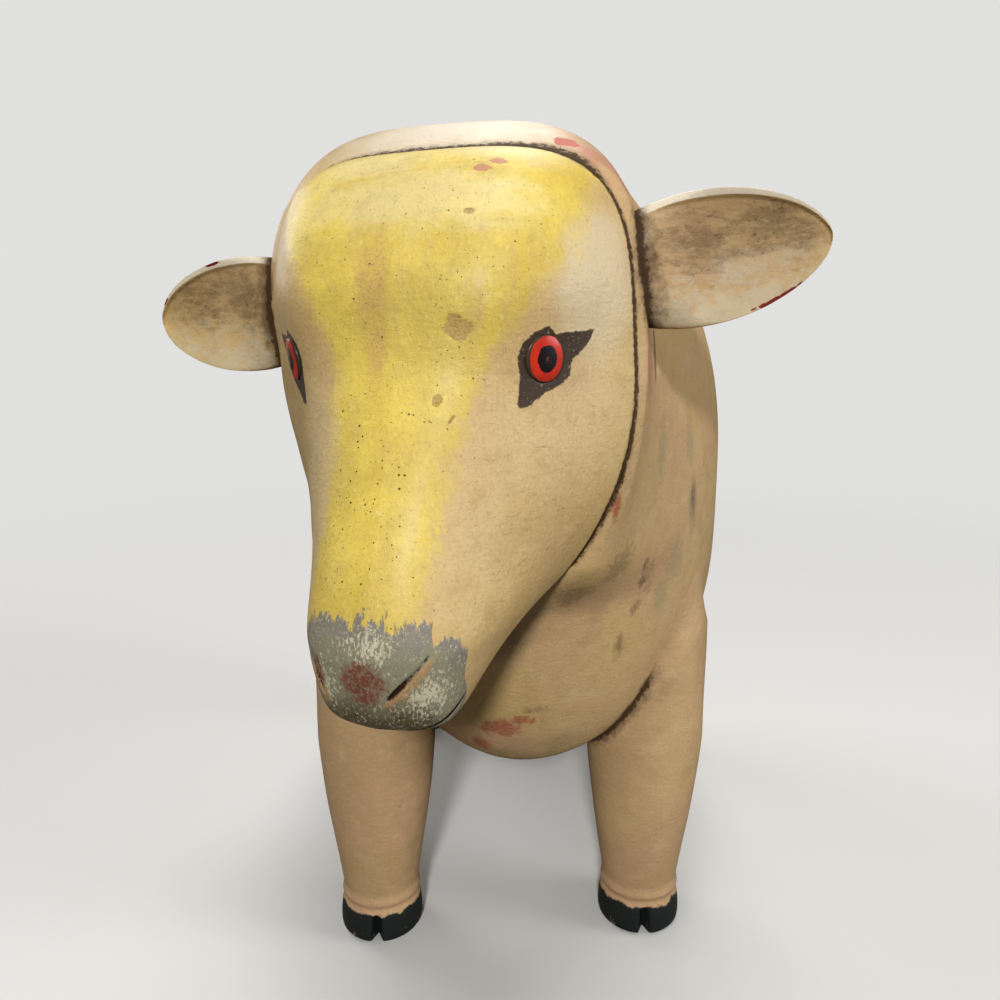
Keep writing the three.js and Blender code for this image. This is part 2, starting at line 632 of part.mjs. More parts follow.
// Legs and their dowels
for (const [end, fromFront, swell] of [['front', 0, 1], ['hind', hindLegsY, HIND_LEG_SWELL]]) {
  for (const [hand, side] of [['left', 1], ['right', -1]]) {
    const step = fromFront === 0 && side < 0 ? FRONT_RIGHT_STEP : 0;
    const foot = new THREE.Vector3((side * STANCE_WIDTH) / 2, fromFront - step, 0);
    const leg = piece(`${end}_${hand}_leg`, PAINT.cream, figure, foot);
    const middle = undersideZ(SEAM_TO_FRONT_LEGS + fromFront, STANCE_WIDTH / 2);
    const start = middle - LEG_DOWEL_LENGTH / 2;
    const dowel = piece(`${end}_${hand}_leg_dowel`, PAINT.bare, leg, new THREE.Vector3(0, 0, start));
    dowel.geometry = roundBar(LEG_DOWEL_DIAMETER, LEG_DOWEL_LENGTH, DOWEL_CHAMFER);
    const hole = roundBar(LEG_DOWEL_DIAMETER + 2 * GLUE_GAP, LEG_DOWEL_LENGTH + 2 * HOLE_END_ROOM)
      .translate(0, 0, start - HOLE_END_ROOM);
    leg.geometry = cut(legSkin(side, swell), intoFrame(grownBody, leg), hoofCleft(), hole);
    bodyHoles.push(outOfFrame(hole, leg));
  }
}

// Ears
for (const [name, side, set] of [['left_ear', 1, LEFT_EAR], ['right_ear', -1, RIGHT_EAR]]) {
  const seat = new THREE.Vector3((side * HEAD_WIDTH) / 2, EAR_BEHIND_SEAM, HEAD_WIDEST_Z + set.height);
  const ear = piece(name, PAINT.ear, headFrame, seat, new THREE.Euler(0, -side * set.lift, side * EAR_SWEEP));
  const inward = new THREE.Vector3(-side, 0, 0);
  const start = new THREE.Vector3(side * SPIGOT_ROOT, 0, 0);
  const reach = SPIGOT_ROOT + EAR_SPIGOT_LENGTH;
  const spigot = barAlong(start, inward, EAR_SPIGOT_DIAMETER, reach, DOWEL_CHAMFER);
  ear.geometry = join(cut(earSkin(side), intoFrame(grownBody, ear)), spigot);
  const hole = barAlong(start, inward, EAR_SPIGOT_DIAMETER + 2 * GLUE_GAP, reach + HOLE_END_ROOM);
  bodyHoles.push(outOfFrame(hole, ear));
}

// Tail
const tail = piece('tail', PAINT.cream, figure);
const tailStart = tailSeat.clone().addScaledVector(tailOutward, SPIGOT_ROOT);
const tailInward = tailOutward.clone().negate();
const tailReach = SPIGOT_ROOT + TAIL_SPIGOT_LENGTH;
const tailSpigot = barAlong(tailStart, tailInward, TAIL_SPIGOT_DIAMETER, tailReach, DOWEL_CHAMFER);
tail.geometry = join(cut(tailSkin(), grownBody), tailSpigot);
bodyHoles.push(
  barAlong(tailStart, tailInward, TAIL_SPIGOT_DIAMETER + 2 * GLUE_GAP, tailReach + HOLE_END_ROOM),
);

// Head, its two dowels and the eyes
const headHoles = [];
const backward = new THREE.Vector3(0, 1, 0);
const dowelLength = HEAD_DOWEL_IN_HEAD + HEAD_DOWEL_IN_NECK;
const dowelHeights = {
  head_dowel_upper: HEAD_WIDEST_Z + UPPER_DOWEL_ABOVE_WIDEST,
  head_dowel_lower: HEAD_WIDEST_Z - LOWER_DOWEL_BELOW_WIDEST,
};
for (const [name, z] of Object.entries(dowelHeights)) {
  const front = new THREE.Vector3(0, -HEAD_DOWEL_IN_HEAD, z);
  const dowel = piece(name, PAINT.bare, headFrame, front, new THREE.Euler(-Math.PI / 2, 0, 0));
  dowel.geometry = roundBar(HEAD_DOWEL_DIAMETER, dowelLength, DOWEL_CHAMFER);
  const hole = barAlong(
    front.clone().addScaledVector(backward, -HOLE_END_ROOM), backward,
    HEAD_DOWEL_DIAMETER + 2 * GLUE_GAP, dowelLength + 2 * HOLE_END_ROOM,
  );
  headHoles.push(hole);
  bodyHoles.push(outOfFrame(hole, headFrame));
}
for (const [name, place] of [['left_eye', LEFT_EYE], ['right_eye', RIGHT_EYE]]) {
  const outward = headNormal(place.level, place.around);
  const floor = headPoint(place.level, place.around).addScaledVector(outward, -EYE_SEAT_DEPTH);
  const turn = new THREE.Quaternion().setFromUnitVectors(new THREE.Vector3(0, 0, 1), outward);
  const eye = piece(name, PAINT.red, headFrame, floor, new THREE.Euler().setFromQuaternion(turn));
  eye.geometry = eyeSkin();
  const seatFloor = floor.clone().addScaledVector(outward, -GLUE_GAP);
  const shaftEnd = floor.clone().addScaledVector(outward, -EYE_SPIGOT_LENGTH - HOLE_END_ROOM);
  headHoles.push(
    barAlong(seatFloor, outward, EYE_DIAMETER + 2 * GLUE_GAP, EYE_DIAMETER),
    barAlong(shaftEnd, outward, EYE_SPIGOT_DIAMETER + 2 * GLUE_GAP, EYE_SPIGOT_LENGTH + HOLE_END_ROOM),
  );
}
for (const mirror of [(around) => around, (around) => 1 - around]) {
  const top = headPoint(NOSTRIL_TOP.level, mirror(NOSTRIL_TOP.around));
  const foot = headPoint(NOSTRIL_FOOT.level, mirror(NOSTRIL_FOOT.around));
  const along = foot.clone().sub(top).normalize();
  const start = top.clone().add(foot).multiplyScalar(0.5).addScaledVector(along, -NOSTRIL_LENGTH / 2);
  headHoles.push(barAlong(start, along, NOSTRIL_WIDTH, NOSTRIL_LENGTH));
}
const head = piece('head_block', PAINT.yellow, headFrame);
head.geometry = cut(headSkin(), ...headHoles);

const body = piece('body_block', PAINT.cream, figure);
body.geometry = cut(bodySkin(), ...bodyHoles);

// The origin is on the floor under the middle of the figure.
const bounds = new THREE.Box3().setFromObject(figure, true);
const middle = bounds.getCenter(new THREE.Vector3());
figure.position.set(-middle.x, -middle.y, -bounds.min.z);

const sheep = new THREE.Group();
sheep.name = 'sheep';
sheep.add(figure);

export default sheep;
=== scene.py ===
"""A carved and painted wooden sheep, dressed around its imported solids.

The classes work in millimetres, in the animal's own frame: +X to its left, -Y the way the body faces, +Z up from
the floor, with the front legs at y = 0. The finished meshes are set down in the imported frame, in metres.
"""

from __future__ import annotations

import logging
import math
from dataclasses import dataclass, field
from enum import Enum
from functools import cached_property
from typing import Any, ClassVar, Sequence, Union

import bmesh
import bpy
import numpy as np
from mathutils import Matrix, Vector, noise
from mathutils.bvhtree import BVHTree
from mathutils.kdtree import KDTree

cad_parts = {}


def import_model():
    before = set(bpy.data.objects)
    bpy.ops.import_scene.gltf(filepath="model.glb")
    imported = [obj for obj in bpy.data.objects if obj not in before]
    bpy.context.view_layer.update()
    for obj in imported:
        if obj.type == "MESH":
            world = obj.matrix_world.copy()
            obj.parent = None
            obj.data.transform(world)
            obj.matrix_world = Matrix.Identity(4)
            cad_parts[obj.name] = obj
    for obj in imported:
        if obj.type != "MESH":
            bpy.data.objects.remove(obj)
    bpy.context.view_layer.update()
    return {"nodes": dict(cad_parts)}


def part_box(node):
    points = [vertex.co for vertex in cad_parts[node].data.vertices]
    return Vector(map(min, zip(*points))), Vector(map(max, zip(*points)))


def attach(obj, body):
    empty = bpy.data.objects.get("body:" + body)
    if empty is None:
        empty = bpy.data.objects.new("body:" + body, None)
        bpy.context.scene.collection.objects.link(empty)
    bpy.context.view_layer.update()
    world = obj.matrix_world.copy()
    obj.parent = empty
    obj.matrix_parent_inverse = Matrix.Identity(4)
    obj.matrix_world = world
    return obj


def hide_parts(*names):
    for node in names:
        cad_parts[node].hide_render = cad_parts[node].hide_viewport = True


LOG = logging.getLogger("sheep")
MILLIMETRE = 0.001
BODY = "root"
HALF_TURN = math.pi
QUARTER_TURN = math.pi / 2
SHARP_EDGE = math.radians(55)
FLAKE_SLOPE = 3.0

# Lengths in millimetres: points that meet, a mark out of reach, how far from a joint dirt and painted shade lie, and
# how much further off a stretch kept free of them counts.
MERGE_GAP = 1e-4
FAR = 9.0
DIRT_AND_SHADE_REACH = 8.0
CLEAN_GAP = 5.0

Array = np.ndarray
Mesh = bmesh.types.BMesh
Material = bpy.types.Material
Settings = dict[str, Any]
Sizes = Union[float, tuple[float, float, float]]


class Hand(Enum):
    """The animal's own left and right, as the sign of x."""

    LEFT = 1
    RIGHT = -1


class Pigment(Enum):
    """The colours on the figure and its floor, as they look in plain light, from 0 to 255."""

    CREAM = (204, 172, 112)
    PALE_CREAM = (215, 188, 136)
    WHITE_CREAM = (216, 197, 160)
    # RIM_WHITE is pale paint on the ear rims with a painted highlight on it, and the painted highlight along the
    # crest.
    RIM_WHITE = (236, 223, 198)
    TAN = (201, 169, 121)
    LEG_TAN = (185, 152, 112)
    STRAW = (182, 149, 98)
    ROSE_TAN = (199, 157, 124)
    OLIVE_STAIN = (150, 128, 88)
    UNDERCOAT = (196, 124, 106)
    WORN_PINK = (186, 136, 104)
    FLAKE_PINK = (200, 112, 98)
    BARE_WOOD = (186, 150, 96)
    FRESH_WOOD = (184, 143, 96)
    FLECK = (222, 211, 180)
    YELLOW = (234, 206, 92)
    DEEP_YELLOW = (216, 187, 84)
    PALE_YELLOW = (244, 229, 172)
    BLUE_GREY = (130, 125, 119)
    OLIVE_GREY = (138, 136, 112)
    DARK_GREY = (78, 66, 47)
    NOSE_RED = (124, 66, 48)
    EYE_PATCH = (66, 50, 37)
    RED = (208, 50, 30)
    PUPIL = (17, 12, 13)
    HOOF = (34, 38, 36)
    CHIP_RED = (122, 28, 20)
    # Dirt, and also the painted shade in the creases between pieces.
    GROOVE = (64, 45, 24)
    GRIME = (98, 73, 44)
    # SHADE is painted shade: on the chest under the jaw and in the nostril slits.
    SHADE = (54, 34, 18)
    SCUFF = (104, 78, 68)
    CHEST_RED = (170, 98, 70)
    EAR_DIRT = (116, 92, 62)
    EAR_GREY = (190, 178, 150)
    FLOOR = (220, 219, 216)
    FLOOR_IN_LIGHT = (90, 88, 84)

    @property
    def rgba(self) -> tuple[float, float, float, float]:
        """The colour for a socket.

        Returns:
            Its linear red, green, blue and alpha.
        """
        levels = [channel / 255 for channel in self.value]
        linear = [c / 12.92 if c <= 0.04045 else ((c + 0.055) / 1.055) ** 2.4 for c in levels]
        return (*linear, 1.0)


def lerp(start: Any, end: Any, share: Any) -> Any:
    """The value at a share of the way from start to end."""
    return start + (end - start) * share


def ease(share: Any, slope: float = 0.0) -> Any:
    """A smooth step from 0 to 1.

    Args:
        share: where along the step, held between 0 and 1.
        slope: how steeply the step starts.

    Returns:
        The height of the step there.
    """
    v = np.clip(share, 0, 1)
    return (v**3 - 2 * v**2 + v) * slope + 3 * v**2 - 2 * v**3


def band(value: Any, low: float, high: float) -> Any:
    """A smooth step from 0 at low to 1 at high."""
    return ease((value - low) / (high - low))


def bulge(value: Any, roundness: Any) -> Any:
    """A cosine or sine as a superellipse of that roundness has it."""
    return np.sign(value) * np.abs(value) ** (2 / roundness)


def spline(spots: Array, share: Array) -> Array:
    """Points on a smooth curve through spots.

    Args:
        spots: the spots, one row each.
        share: shares of the way along, counted in spots.

    Returns:
        One row for each share.
    """
    last = len(spots) - 1
    along = np.clip(share, 0, 1) * last
    first = np.minimum(along.astype(int), last - 1)
    weight = (along - first)[:, None]
    before, after, beyond = np.maximum(first - 1, 0), first + 1, np.minimum(first + 2, last)
    start, end = spots[first], spots[after]
    leaving, arriving = (end - spots[before]) / 2, (spots[beyond] - start) / 2
    cubic = (2 * start - 2 * end + leaving + arriving) * weight**3
    square = (-3 * start + 3 * end - 2 * leaving - arriving) * weight**2
    return cubic + square + leaving * weight + start


def ripple(points: Array, size: float, shift: float = 0.0) -> Array:
    """Smooth noise between -1 and 1 at points.

    Args:
        points: the points, one row each.
        size: the size of a swell, in the points' unit.
        shift: moves the pattern, so that two ripples differ.

    Returns:
        One value for each point.
    """
    offset = Vector((shift, shift, shift))
    return np.array([noise.noise(Vector(p) / size + offset) for p in points])


def hollows(points: Array, depth: float, size: float, shift: float = 0.0) -> Array:
    """The shallow hollows that a carver's blade leaves.

    Args:
        points: the points, one row each.
        depth: the deepest hollow.
        size: the size of a hollow, in the points' unit.
        shift: moves the pattern, so that two pieces differ.

    Returns:
        The height at each point, from -depth to 0.
    """
    return depth * (ripple(points, size, shift) - 1) / 2


def rounding(away: Array, radius: float) -> Array:
    """How far a rounded edge falls short of a sharp one.

    Args:
        away: distances from the edge.
        radius: the edge's radius.

    Returns:
        The height at each distance, from -radius at the edge to 0.
    """
    short = np.clip(radius - away, 0, radius)
    return np.sqrt(radius**2 - short**2) - radius


def inside_depth(spots: Array, outline: Sequence[tuple[float, float]]) -> Array:
    """How far spots lie inside a closed outline.

    Args:
        spots: the spots in the outline's plane, one row each.
        outline: the outline's corners in order.

    Returns:
        The distance to the outline, negative outside it.
    """
    corners = np.array(outline)
    nearest = np.full(len(spots), np.inf)
    inside = np.zeros(len(spots), bool)
    for start, end in zip(corners, np.roll(corners, -1, axis=0)):
        edge, arm = end - start, spots - start
        share = np.clip(arm @ edge / (edge @ edge), 0, 1)
        nearest = np.minimum(nearest, np.linalg.norm(arm - share[:, None] * edge, axis=1))
        spans = (start[1] > spots[:, 1]) != (end[1] > spots[:, 1])
        rise = edge[1] if edge[1] else np.inf
        inside ^= spans & (spots[:, 0] < start[0] + edge[0] * (spots[:, 1] - start[1]) / rise)
    return np.where(inside, nearest, -nearest)


def line_distance(points: Array, start: Sequence[float], end: Sequence[float]) -> tuple[Array, Array]:
    """Where points lie beside a straight line.

    Args:
        points: the points, one row each.
        start: one end of the line.
        end: its other end.

    Returns:
        The distance to the line, and the share of the way along it.
    """
    arm, edge = points - np.array(start), np.array(end) - np.array(start)
    share = np.clip(arm @ edge / (edge @ edge), 0, 1)
    return np.linalg.norm(arm - share[:, None] * edge, axis=1), share


def grid(columns: Array, rows: Array) -> tuple[Mesh, Array, Array]:
    """A flat grid whose lines stand for given values.

    Args:
        columns: the value of each line across.
        rows: the value of each line along.

    Returns:
        The mesh, and the column and row value of each of its points.
    """
    mesh = bmesh.new()
    across, along = len(columns) - 1, len(rows) - 1
    bmesh.ops.create_grid(mesh, x_segments=across, y_segments=along, size=0.5)
    flat = points_of(mesh) + 0.5
    u = columns[np.rint(flat[:, 0] * across).astype(int)]
    v = rows[np.rint(flat[:, 1] * along).astype(int)]
    return mesh, u, v


def turned(profile: Array, steps: int) -> Mesh:
    """A round shape turned about the z axis.

    Args:
        profile: radius and height of each point of its outline, from axis to axis.
        steps: how many flats the round has.

    Returns:
        The closed mesh.
    """
    mesh = bmesh.new()
    chain = [mesh.verts.new((radius, 0, height)) for radius, height in profile]
    edges = [mesh.edges.new(pair) for pair in zip(chain, chain[1:])]
    bmesh.ops.spin(
        mesh, geom=chain + edges, cent=(0, 0, 0), axis=(0, 0, 1), dvec=(0, 0, 0),
        angle=2 * HALF_TURN, steps=steps, use_merge=True, use_duplicate=False,
    )
    close_up(mesh)
    return mesh


def close_up(mesh: Mesh) -> None:
    """Joins a mesh's meeting points, fills its open ends and turns its faces outwards.

    Args:
        mesh: the mesh to close.
    """
    bmesh.ops.remove_doubles(mesh, verts=mesh.verts, dist=MERGE_GAP)
    bmesh.ops.dissolve_degenerate(mesh, dist=MERGE_GAP, edges=mesh.edges)
    bmesh.ops.holes_fill(mesh, edges=mesh.edges, sides=0)
    bmesh.ops.recalc_face_normals(mesh, faces=mesh.faces)
    mesh.verts.ensure_lookup_table()


def points_of(mesh: Mesh) -> Array:
    """The mesh's points, one row each."""
    return np.array([vert.co for vert in mesh.verts])


def move_to(mesh: Mesh, points: Array) -> None:
    """Moves the mesh's points to new places, in their own order."""
    for vert, point in zip(mesh.verts, points):
        vert.co = point


def carve(mesh: Mesh, rise: Array, flat: Array | None = None, ahead: Vector | None = None) -> None:
    """Raises each point along its normal, or lowers it where rise is negative.

    Args:
        mesh: the mesh to carve.
        rise: the height for each point.
        flat: marks the points of a flat, which stay in its plane.
        ahead: the way that the flat faces.
    """
    mesh.normal_update()
    for index, (vert, height) in enumerate(zip(mesh.verts, rise)):
        step = vert.normal * float(height)
        if flat is not None and flat[index]:
            step -= ahead * step.dot(ahead)
        vert.co += step


def store(mesh: Mesh, name: str, values: Array) -> None:
    """Keeps one value for each point as an attribute that a finish can read.

    Args:
        mesh: the mesh that keeps them.
        name: the attribute's name.
        values: one value for each point.
    """
    layer = mesh.verts.layers.float.get(name) or mesh.verts.layers.float.new(name)
    for vert, value in zip(mesh.verts, values):
        vert[layer] = float(value)


def stored(mesh: Mesh, name: str) -> Array:
    """The values of one attribute, in the order of the mesh's points."""
    layer = mesh.verts.layers.float[name]
    return np.array([vert[layer] for vert in mesh.verts])


def tree_of(mesh: Mesh) -> BVHTree:
    """A search tree over the mesh's faces."""
    mesh.normal_update()
    return BVHTree.FromBMesh(mesh)


def tree_outside(mesh: Mesh, carrier: BVHTree) -> BVHTree:
    """A search tree over the faces of a mesh that stand clear of the shape that carries it.

    Args:
        mesh: the mesh.
        carrier: the search tree of the shape that carries it.

    Returns:
        The tree over the clear faces.
    """
    clear = set()
    for vert in mesh.verts:
        place, normal, _, _ = carrier.find_nearest(vert.co)
        if (vert.co - place).dot(normal) > 0:
            clear.add(vert)
    mesh.verts.index_update()
    faces = [[vert.index for vert in face.verts] for face in mesh.faces if clear.issuperset(face.verts)]
    return BVHTree.FromPolygons([vert.co for vert in mesh.verts], faces)


def nearness(points: Array, trees: Sequence[BVHTree], reach: float) -> Array:
    """The distance from points to the nearest of some shapes.

    Args:
        points: the points, one row each.
        trees: the shapes' search trees.
        reach: the distance past which nothing counts.

    Returns:
        One distance for each point, at most reach.
    """
    nearest = np.full(len(points), reach)
    for tree in trees:
        for index, point in enumerate(points):
            found = tree.find_nearest(Vector(point), reach)[3]
            if found is not None and found < nearest[index]:
                nearest[index] = found
    return nearest


def seat_against(mesh: Mesh, tree: BVHTree, depth: float) -> None:
    """Draws in the part of a mesh that runs into a shape, so that it ends a little under that shape's skin.

    Args:
        mesh: the mesh to seat.
        tree: the search tree of the shape that carries it.
        depth: how far under the skin it may reach.
    """
    for vert in mesh.verts:
        place, normal, _, away = tree.find_nearest(vert.co)
        if (vert.co - place).dot(normal) < 0 and away > depth:
            vert.co = place - normal * depth


class Wire:
    """An output socket of a node, whose arithmetic adds Math nodes."""

    def __init__(self, bench: Bench, socket: bpy.types.NodeSocket) -> None:
        """Keeps the socket and the bench that it is on."""
        self.bench = bench
        self.socket = socket

    def _math(self, operation: str, left: Value, right: Value) -> Wire:
        """Adds one Math node.

        Args:
            operation: the node's operation.
            left: its first value.
            right: its second value.

        Returns:
            The node's output.
        """
        return self.bench.wire("ShaderNodeMath", {"operation": operation}, {0: left, 1: right})

    def __add__(self, other: Value) -> Wire:
        """The sum."""
        return self._math("ADD", self, other)

    def __radd__(self, other: Value) -> Wire:
        """The sum, with a number first."""
        return self._math("ADD", other, self)

    def __sub__(self, other: Value) -> Wire:
        """The difference."""
        return self._math("SUBTRACT", self, other)

    def __rsub__(self, other: Value) -> Wire:
        """The difference, with a number first."""
        return self._math("SUBTRACT", other, self)

    def __mul__(self, other: Value) -> Wire:
        """The product."""
        return self._math("MULTIPLY", self, other)

    def __rmul__(self, other: Value) -> Wire:
        """The product, with a number first."""
        return self._math("MULTIPLY", other, self)

    def __or__(self, other: Value) -> Wire:
        """The larger of two masks."""
        return self._math("MAXIMUM", self, other)

    def __ror__(self, other: Value) -> Wire:
        """The larger of two masks, with a number first."""
        return self._math("MAXIMUM", other, self)


Value = Union[Wire, float]
Paint = Union[Wire, Pigment]


class Bench:
    """The node tree of one material or world, with the patterns that the finishes share."""

    def __init__(self, owner: Material | bpy.types.World) -> None:
        """Empties a node tree to start on it.

        Args:
            owner: the material or world that has the tree.
        """
        owner.use_nodes = True
        self.owner = owner
        self.tree = owner.node_tree
        self.tree.nodes.clear()

    @classmethod
    def for_paint(cls, name: str) -> Bench:
        """Starts a new material of that name."""
        return cls(bpy.data.materials.new(name))

    @cached_property
    def place(self) -> Wire:
        """The place on the piece, in metres."""
        return self.wire("ShaderNodeTexCoord", output="Object")

    def node(self, kind: str, settings: Settings | None = None, inputs: dict | None = None) -> bpy.types.Node:
        """Adds a node.

        Args:
            kind: the node's type.
            settings: its own settings, set before its sockets.
            inputs: a value, pigment or wire for each named or numbered socket.

        Returns:
            The node.
        """
        node = self.tree.nodes.new(kind)
        for key, value in (settings or {}).items():
            setattr(node, key, value)
        for key, value in (inputs or {}).items():
            if isinstance(value, Wire):
                self.tree.links.new(value.socket, node.inputs[key])
            elif isinstance(value, Pigment):
                node.inputs[key].default_value = value.rgba
            else:
                node.inputs[key].default_value = value
        return node

    def wire(
        self, kind: str, settings: Settings | None = None, inputs: dict | None = None, output: str | int = 0
    ) -> Wire:
        """Adds a node and takes one of its outputs."""
        return Wire(self, self.node(kind, settings, inputs).outputs[output])

    def attribute(self, name: str) -> Wire:
        """A value that the piece keeps for each of its points."""
        return self.wire("ShaderNodeAttribute", {"attribute_name": name}, output="Fac")

    def spot(self, size: Sizes, shift: float) -> Wire:
        """The place on the piece, counted in swells of a pattern.

        Args:
            size: a swell's size in millimetres, alike or for each axis.
            shift: moves the pattern, so that two patterns differ.

        Returns:
            The place as a vector.
        """
        sizes = size if isinstance(size, tuple) else (size, size, size)
        scale = [1 / (MILLIMETRE * s) for s in sizes]
        return self.wire("ShaderNodeMapping", None, {"Vector": self.place, "Scale": scale, "Location": [shift] * 3})

    def noise(self, size: Sizes, detail: float = 2.0, rough: float = 0.5, shift: float = 0.0) -> Wire:
        """Cloudy noise about 0.5.

        Args:
            size: a swell's size in millimetres, alike or for each axis.
            detail: how many finer layers it has.
            rough: how strong they are.
            shift: moves the pattern.

        Returns:
            The noise, from 0 to 1.
        """
        inputs = {"Vector": self.spot(size, shift), "Scale": 1.0, "Detail": detail, "Roughness": rough}
        return self.wire("ShaderNodeTexNoise", None, inputs)

    def sway(self, amount: float, size: Sizes, detail: float, rough: float, shift: float) -> Wire:
        """Such noise about 0, of that strength from end to end, to fray an edge with."""
        return (self.noise(size, detail, rough, shift) - 0.5) * amount

    def ragged(self, name: str, amount: float, size: Sizes, detail: float, rough: float, shift: float) -> Wire:
        """A value that the piece keeps, with noise on it to fray its edge."""
        return self.attribute(name) + self.sway(amount, size, detail, rough, shift)

    def step(self, value: Wire, low: float, high: float) -> Wire:
        """A smooth mask that is 0 at low and 1 at high."""
        inputs = {"Value": value, "From Min": low, "From Max": high}
        return self.wire("ShaderNodeMapRange", {"interpolation_type": "SMOOTHSTEP"}, inputs)

    def blend(self, mask: Value, below: Paint, above: Paint) -> Wire:
        """One colour laid over another where the mask is 1."""
        return self.wire("ShaderNodeMix", {"data_type": "RGBA"}, {0: mask, 6: below, 7: above}, output=2)

    def pits(self, spacing: float, radius: float, chance: float, shift: float = 0.0) -> Wire:
        """Small round pits, scattered.

        Args:
            spacing: the distance between possible pits in millimetres.
            radius: the largest pit's radius in millimetres.
            chance: the share of the places that have one.
            shift: moves the pattern.

        Returns:
            A mask, 1 in a pit.
        """
        inputs = {"Vector": self.spot(spacing, shift), "Scale": 1.0}
        cells = self.node("ShaderNodeTexVoronoi", None, inputs)
        draw = self.node("ShaderNodeSeparateColor", None, {0: Wire(self, cells.outputs["Color"])})
        lucky = self.step(Wire(self, draw.outputs[0]), 1 - chance, 1 - chance + 0.02)
        reach = Wire(self, draw.outputs[1]) * (0.65 * radius / spacing) + 0.35 * radius / spacing
        return self.step(reach - Wire(self, cells.outputs["Distance"]), -0.04, 0.04) * lucky


@dataclass
class Layers:
    """Paint in the making: what has been laid on a surface so far. What is very dull carries no varnish."""

    DULL: ClassVar[float] = 0.65
    SPECULAR: ClassVar[float] = 0.2

    bench: Bench
    colour: Wire
    roughness: Wire
    height: Wire
    varnish: Value = 0.0

    def cover(self, mask: Wire, paint: Paint, gloss: float | None = None, relief: float = 0.0) -> None:
        """Lays paint, or bares what is under it.

        Args:
            mask: 1 where it covers.
            paint: its colour.
            gloss: its roughness, where it differs.
            relief: how far it stands up in millimetres, negative for a loss.
        """
        self.colour = self.bench.blend(mask, self.colour, paint)
        if gloss is not None:
            self.roughness = self.roughness + (gloss - self.roughness) * mask
            if gloss > self.DULL:
                self.varnish = self.varnish * (1 - mask)
        if relief:
            self.height = self.height + mask * relief

    def seal(self, varnish_roughness: float) -> Material:
        """Closes the surface with its shader.

        Args:
            varnish_roughness: how dull the varnish is.

        Returns:
            The finished material.
        """
        inputs = {"Height": self.height, "Distance": MILLIMETRE, "Strength": 1.0}
        normal = self.bench.wire("ShaderNodeBump", None, inputs)
        shader = self.bench.wire(
            "ShaderNodeBsdfPrincipled", None,
            {
                "Base Color": self.colour, "Roughness": self.roughness, "Normal": normal,
                "Coat Weight": self.varnish, "Coat Roughness": varnish_roughness,
                "Specular IOR Level": self.SPECULAR,
            },
        )
        self.bench.node("ShaderNodeOutputMaterial", None, {"Surface": shader})
        return self.bench.owner


@dataclass(frozen=True)
class CreamPaint:
    """Thin old cream paint on carved wood: brushed, stained, and rubbed through here and there."""

    name: str
    base: Pigment = Pigment.TAN
    pale: Pigment = Pigment.CREAM
    rosiness: float = 0.45
    staining: float = 0.5
    mottling: float = 0.5
    grain: float = 0.3
    varnish: float = 0.2
    varnish_roughness: float = 0.36

    def ground(self, bench: Bench) -> Layers:
        """Lays the cream paint.

        Args:
            bench: the material's bench.

        Returns:
            The surface so far.
        """
        clouds = bench.step(bench.noise(34.0, 2.0, shift=3.1), 0.38, 0.66)
        colour = bench.blend(clouds, self.base, self.pale)
        rosy = bench.step(bench.noise(27.0, 2.0, shift=11.7), 0.46, 0.7) * self.rosiness
        colour = bench.blend(rosy, colour, Pigment.ROSE_TAN)
        fibre = bench.noise((0.55, 0.55, 0.95), 4.0, 0.68, shift=5.3)
        mottle = bench.noise(4.5, 4.0, 0.6, shift=1.9)
        dimples = bench.noise((1.7, 1.7, 0.8), 3.0, 0.6, shift=8.6)
        relief = fibre * 0.13 + mottle * 0.2 + dimples * 0.12
        layers = Layers(bench, colour, mottle * 0.3 + 0.4, relief, self.varnish)
        layers.cover(bench.step(fibre, 0.48, 0.72) * self.grain, Pigment.STRAW)
        layers.cover((1 - bench.step(fibre, 0.3, 0.46)) * self.grain, Pigment.PALE_CREAM)
        layers.cover(bench.step(mottle, 0.5, 0.7) * 0.42, Pigment.STRAW)
        layers.cover((1 - bench.step(mottle, 0.32, 0.46)) * self.mottling, Pigment.PALE_CREAM)
        layers.cover(bench.step(dimples, 0.52, 0.7) * 0.35, self.pale)
        stain = bench.step(bench.noise(15.0, 4.0, 0.62, shift=7.7), 0.55, 0.74) * self.staining
        layers.cover(stain, Pigment.OLIVE_STAIN, 0.55)
        hairs = bench.noise((6.0, 6.0, 0.35), 2.0, 0.6, shift=9.2)
        layers.cover(bench.step(hairs, 0.66, 0.76) * 0.3, Pigment.GRIME, None, -0.04)
        layers.cover(bench.pits(1.5, 0.14, 0.3, shift=2.2) * 0.6, Pigment.GRIME, 0.7, -0.1)
        return layers

    def grime(self, layers: Layers, attribute: str, reach: float, line: float, strength: float = 0.7) -> None:
        """Darkens the paint beside a joint with dirt, and in the creases between pieces with painted shade as well.

        Args:
            layers: the surface so far.
            attribute: the piece's distance to the joint, in millimetres.
            reach: how far the dirt and painted shade spread, in millimetres.
            line: the width of the dark line along the joint, in millimetres.
            strength: how dark the dirt and painted shade lie.
        """
        bench = layers.bench
        away = bench.attribute(attribute)
        ragged = away + bench.sway(1.6 * reach, 2.4, 4.0, 0.65, 4.4)
        layers.cover((1 - bench.step(ragged, 0.1 * reach, reach)) * strength, Pigment.GRIME, 0.62)
        frayed = away + bench.sway(2.2 * line, 1.1, 4.0, 0.65, 8.1)
        layers.cover((1 - bench.step(frayed, 0.55 * line, 1.15 * line)) * 0.95, Pigment.GROOVE, 0.75)


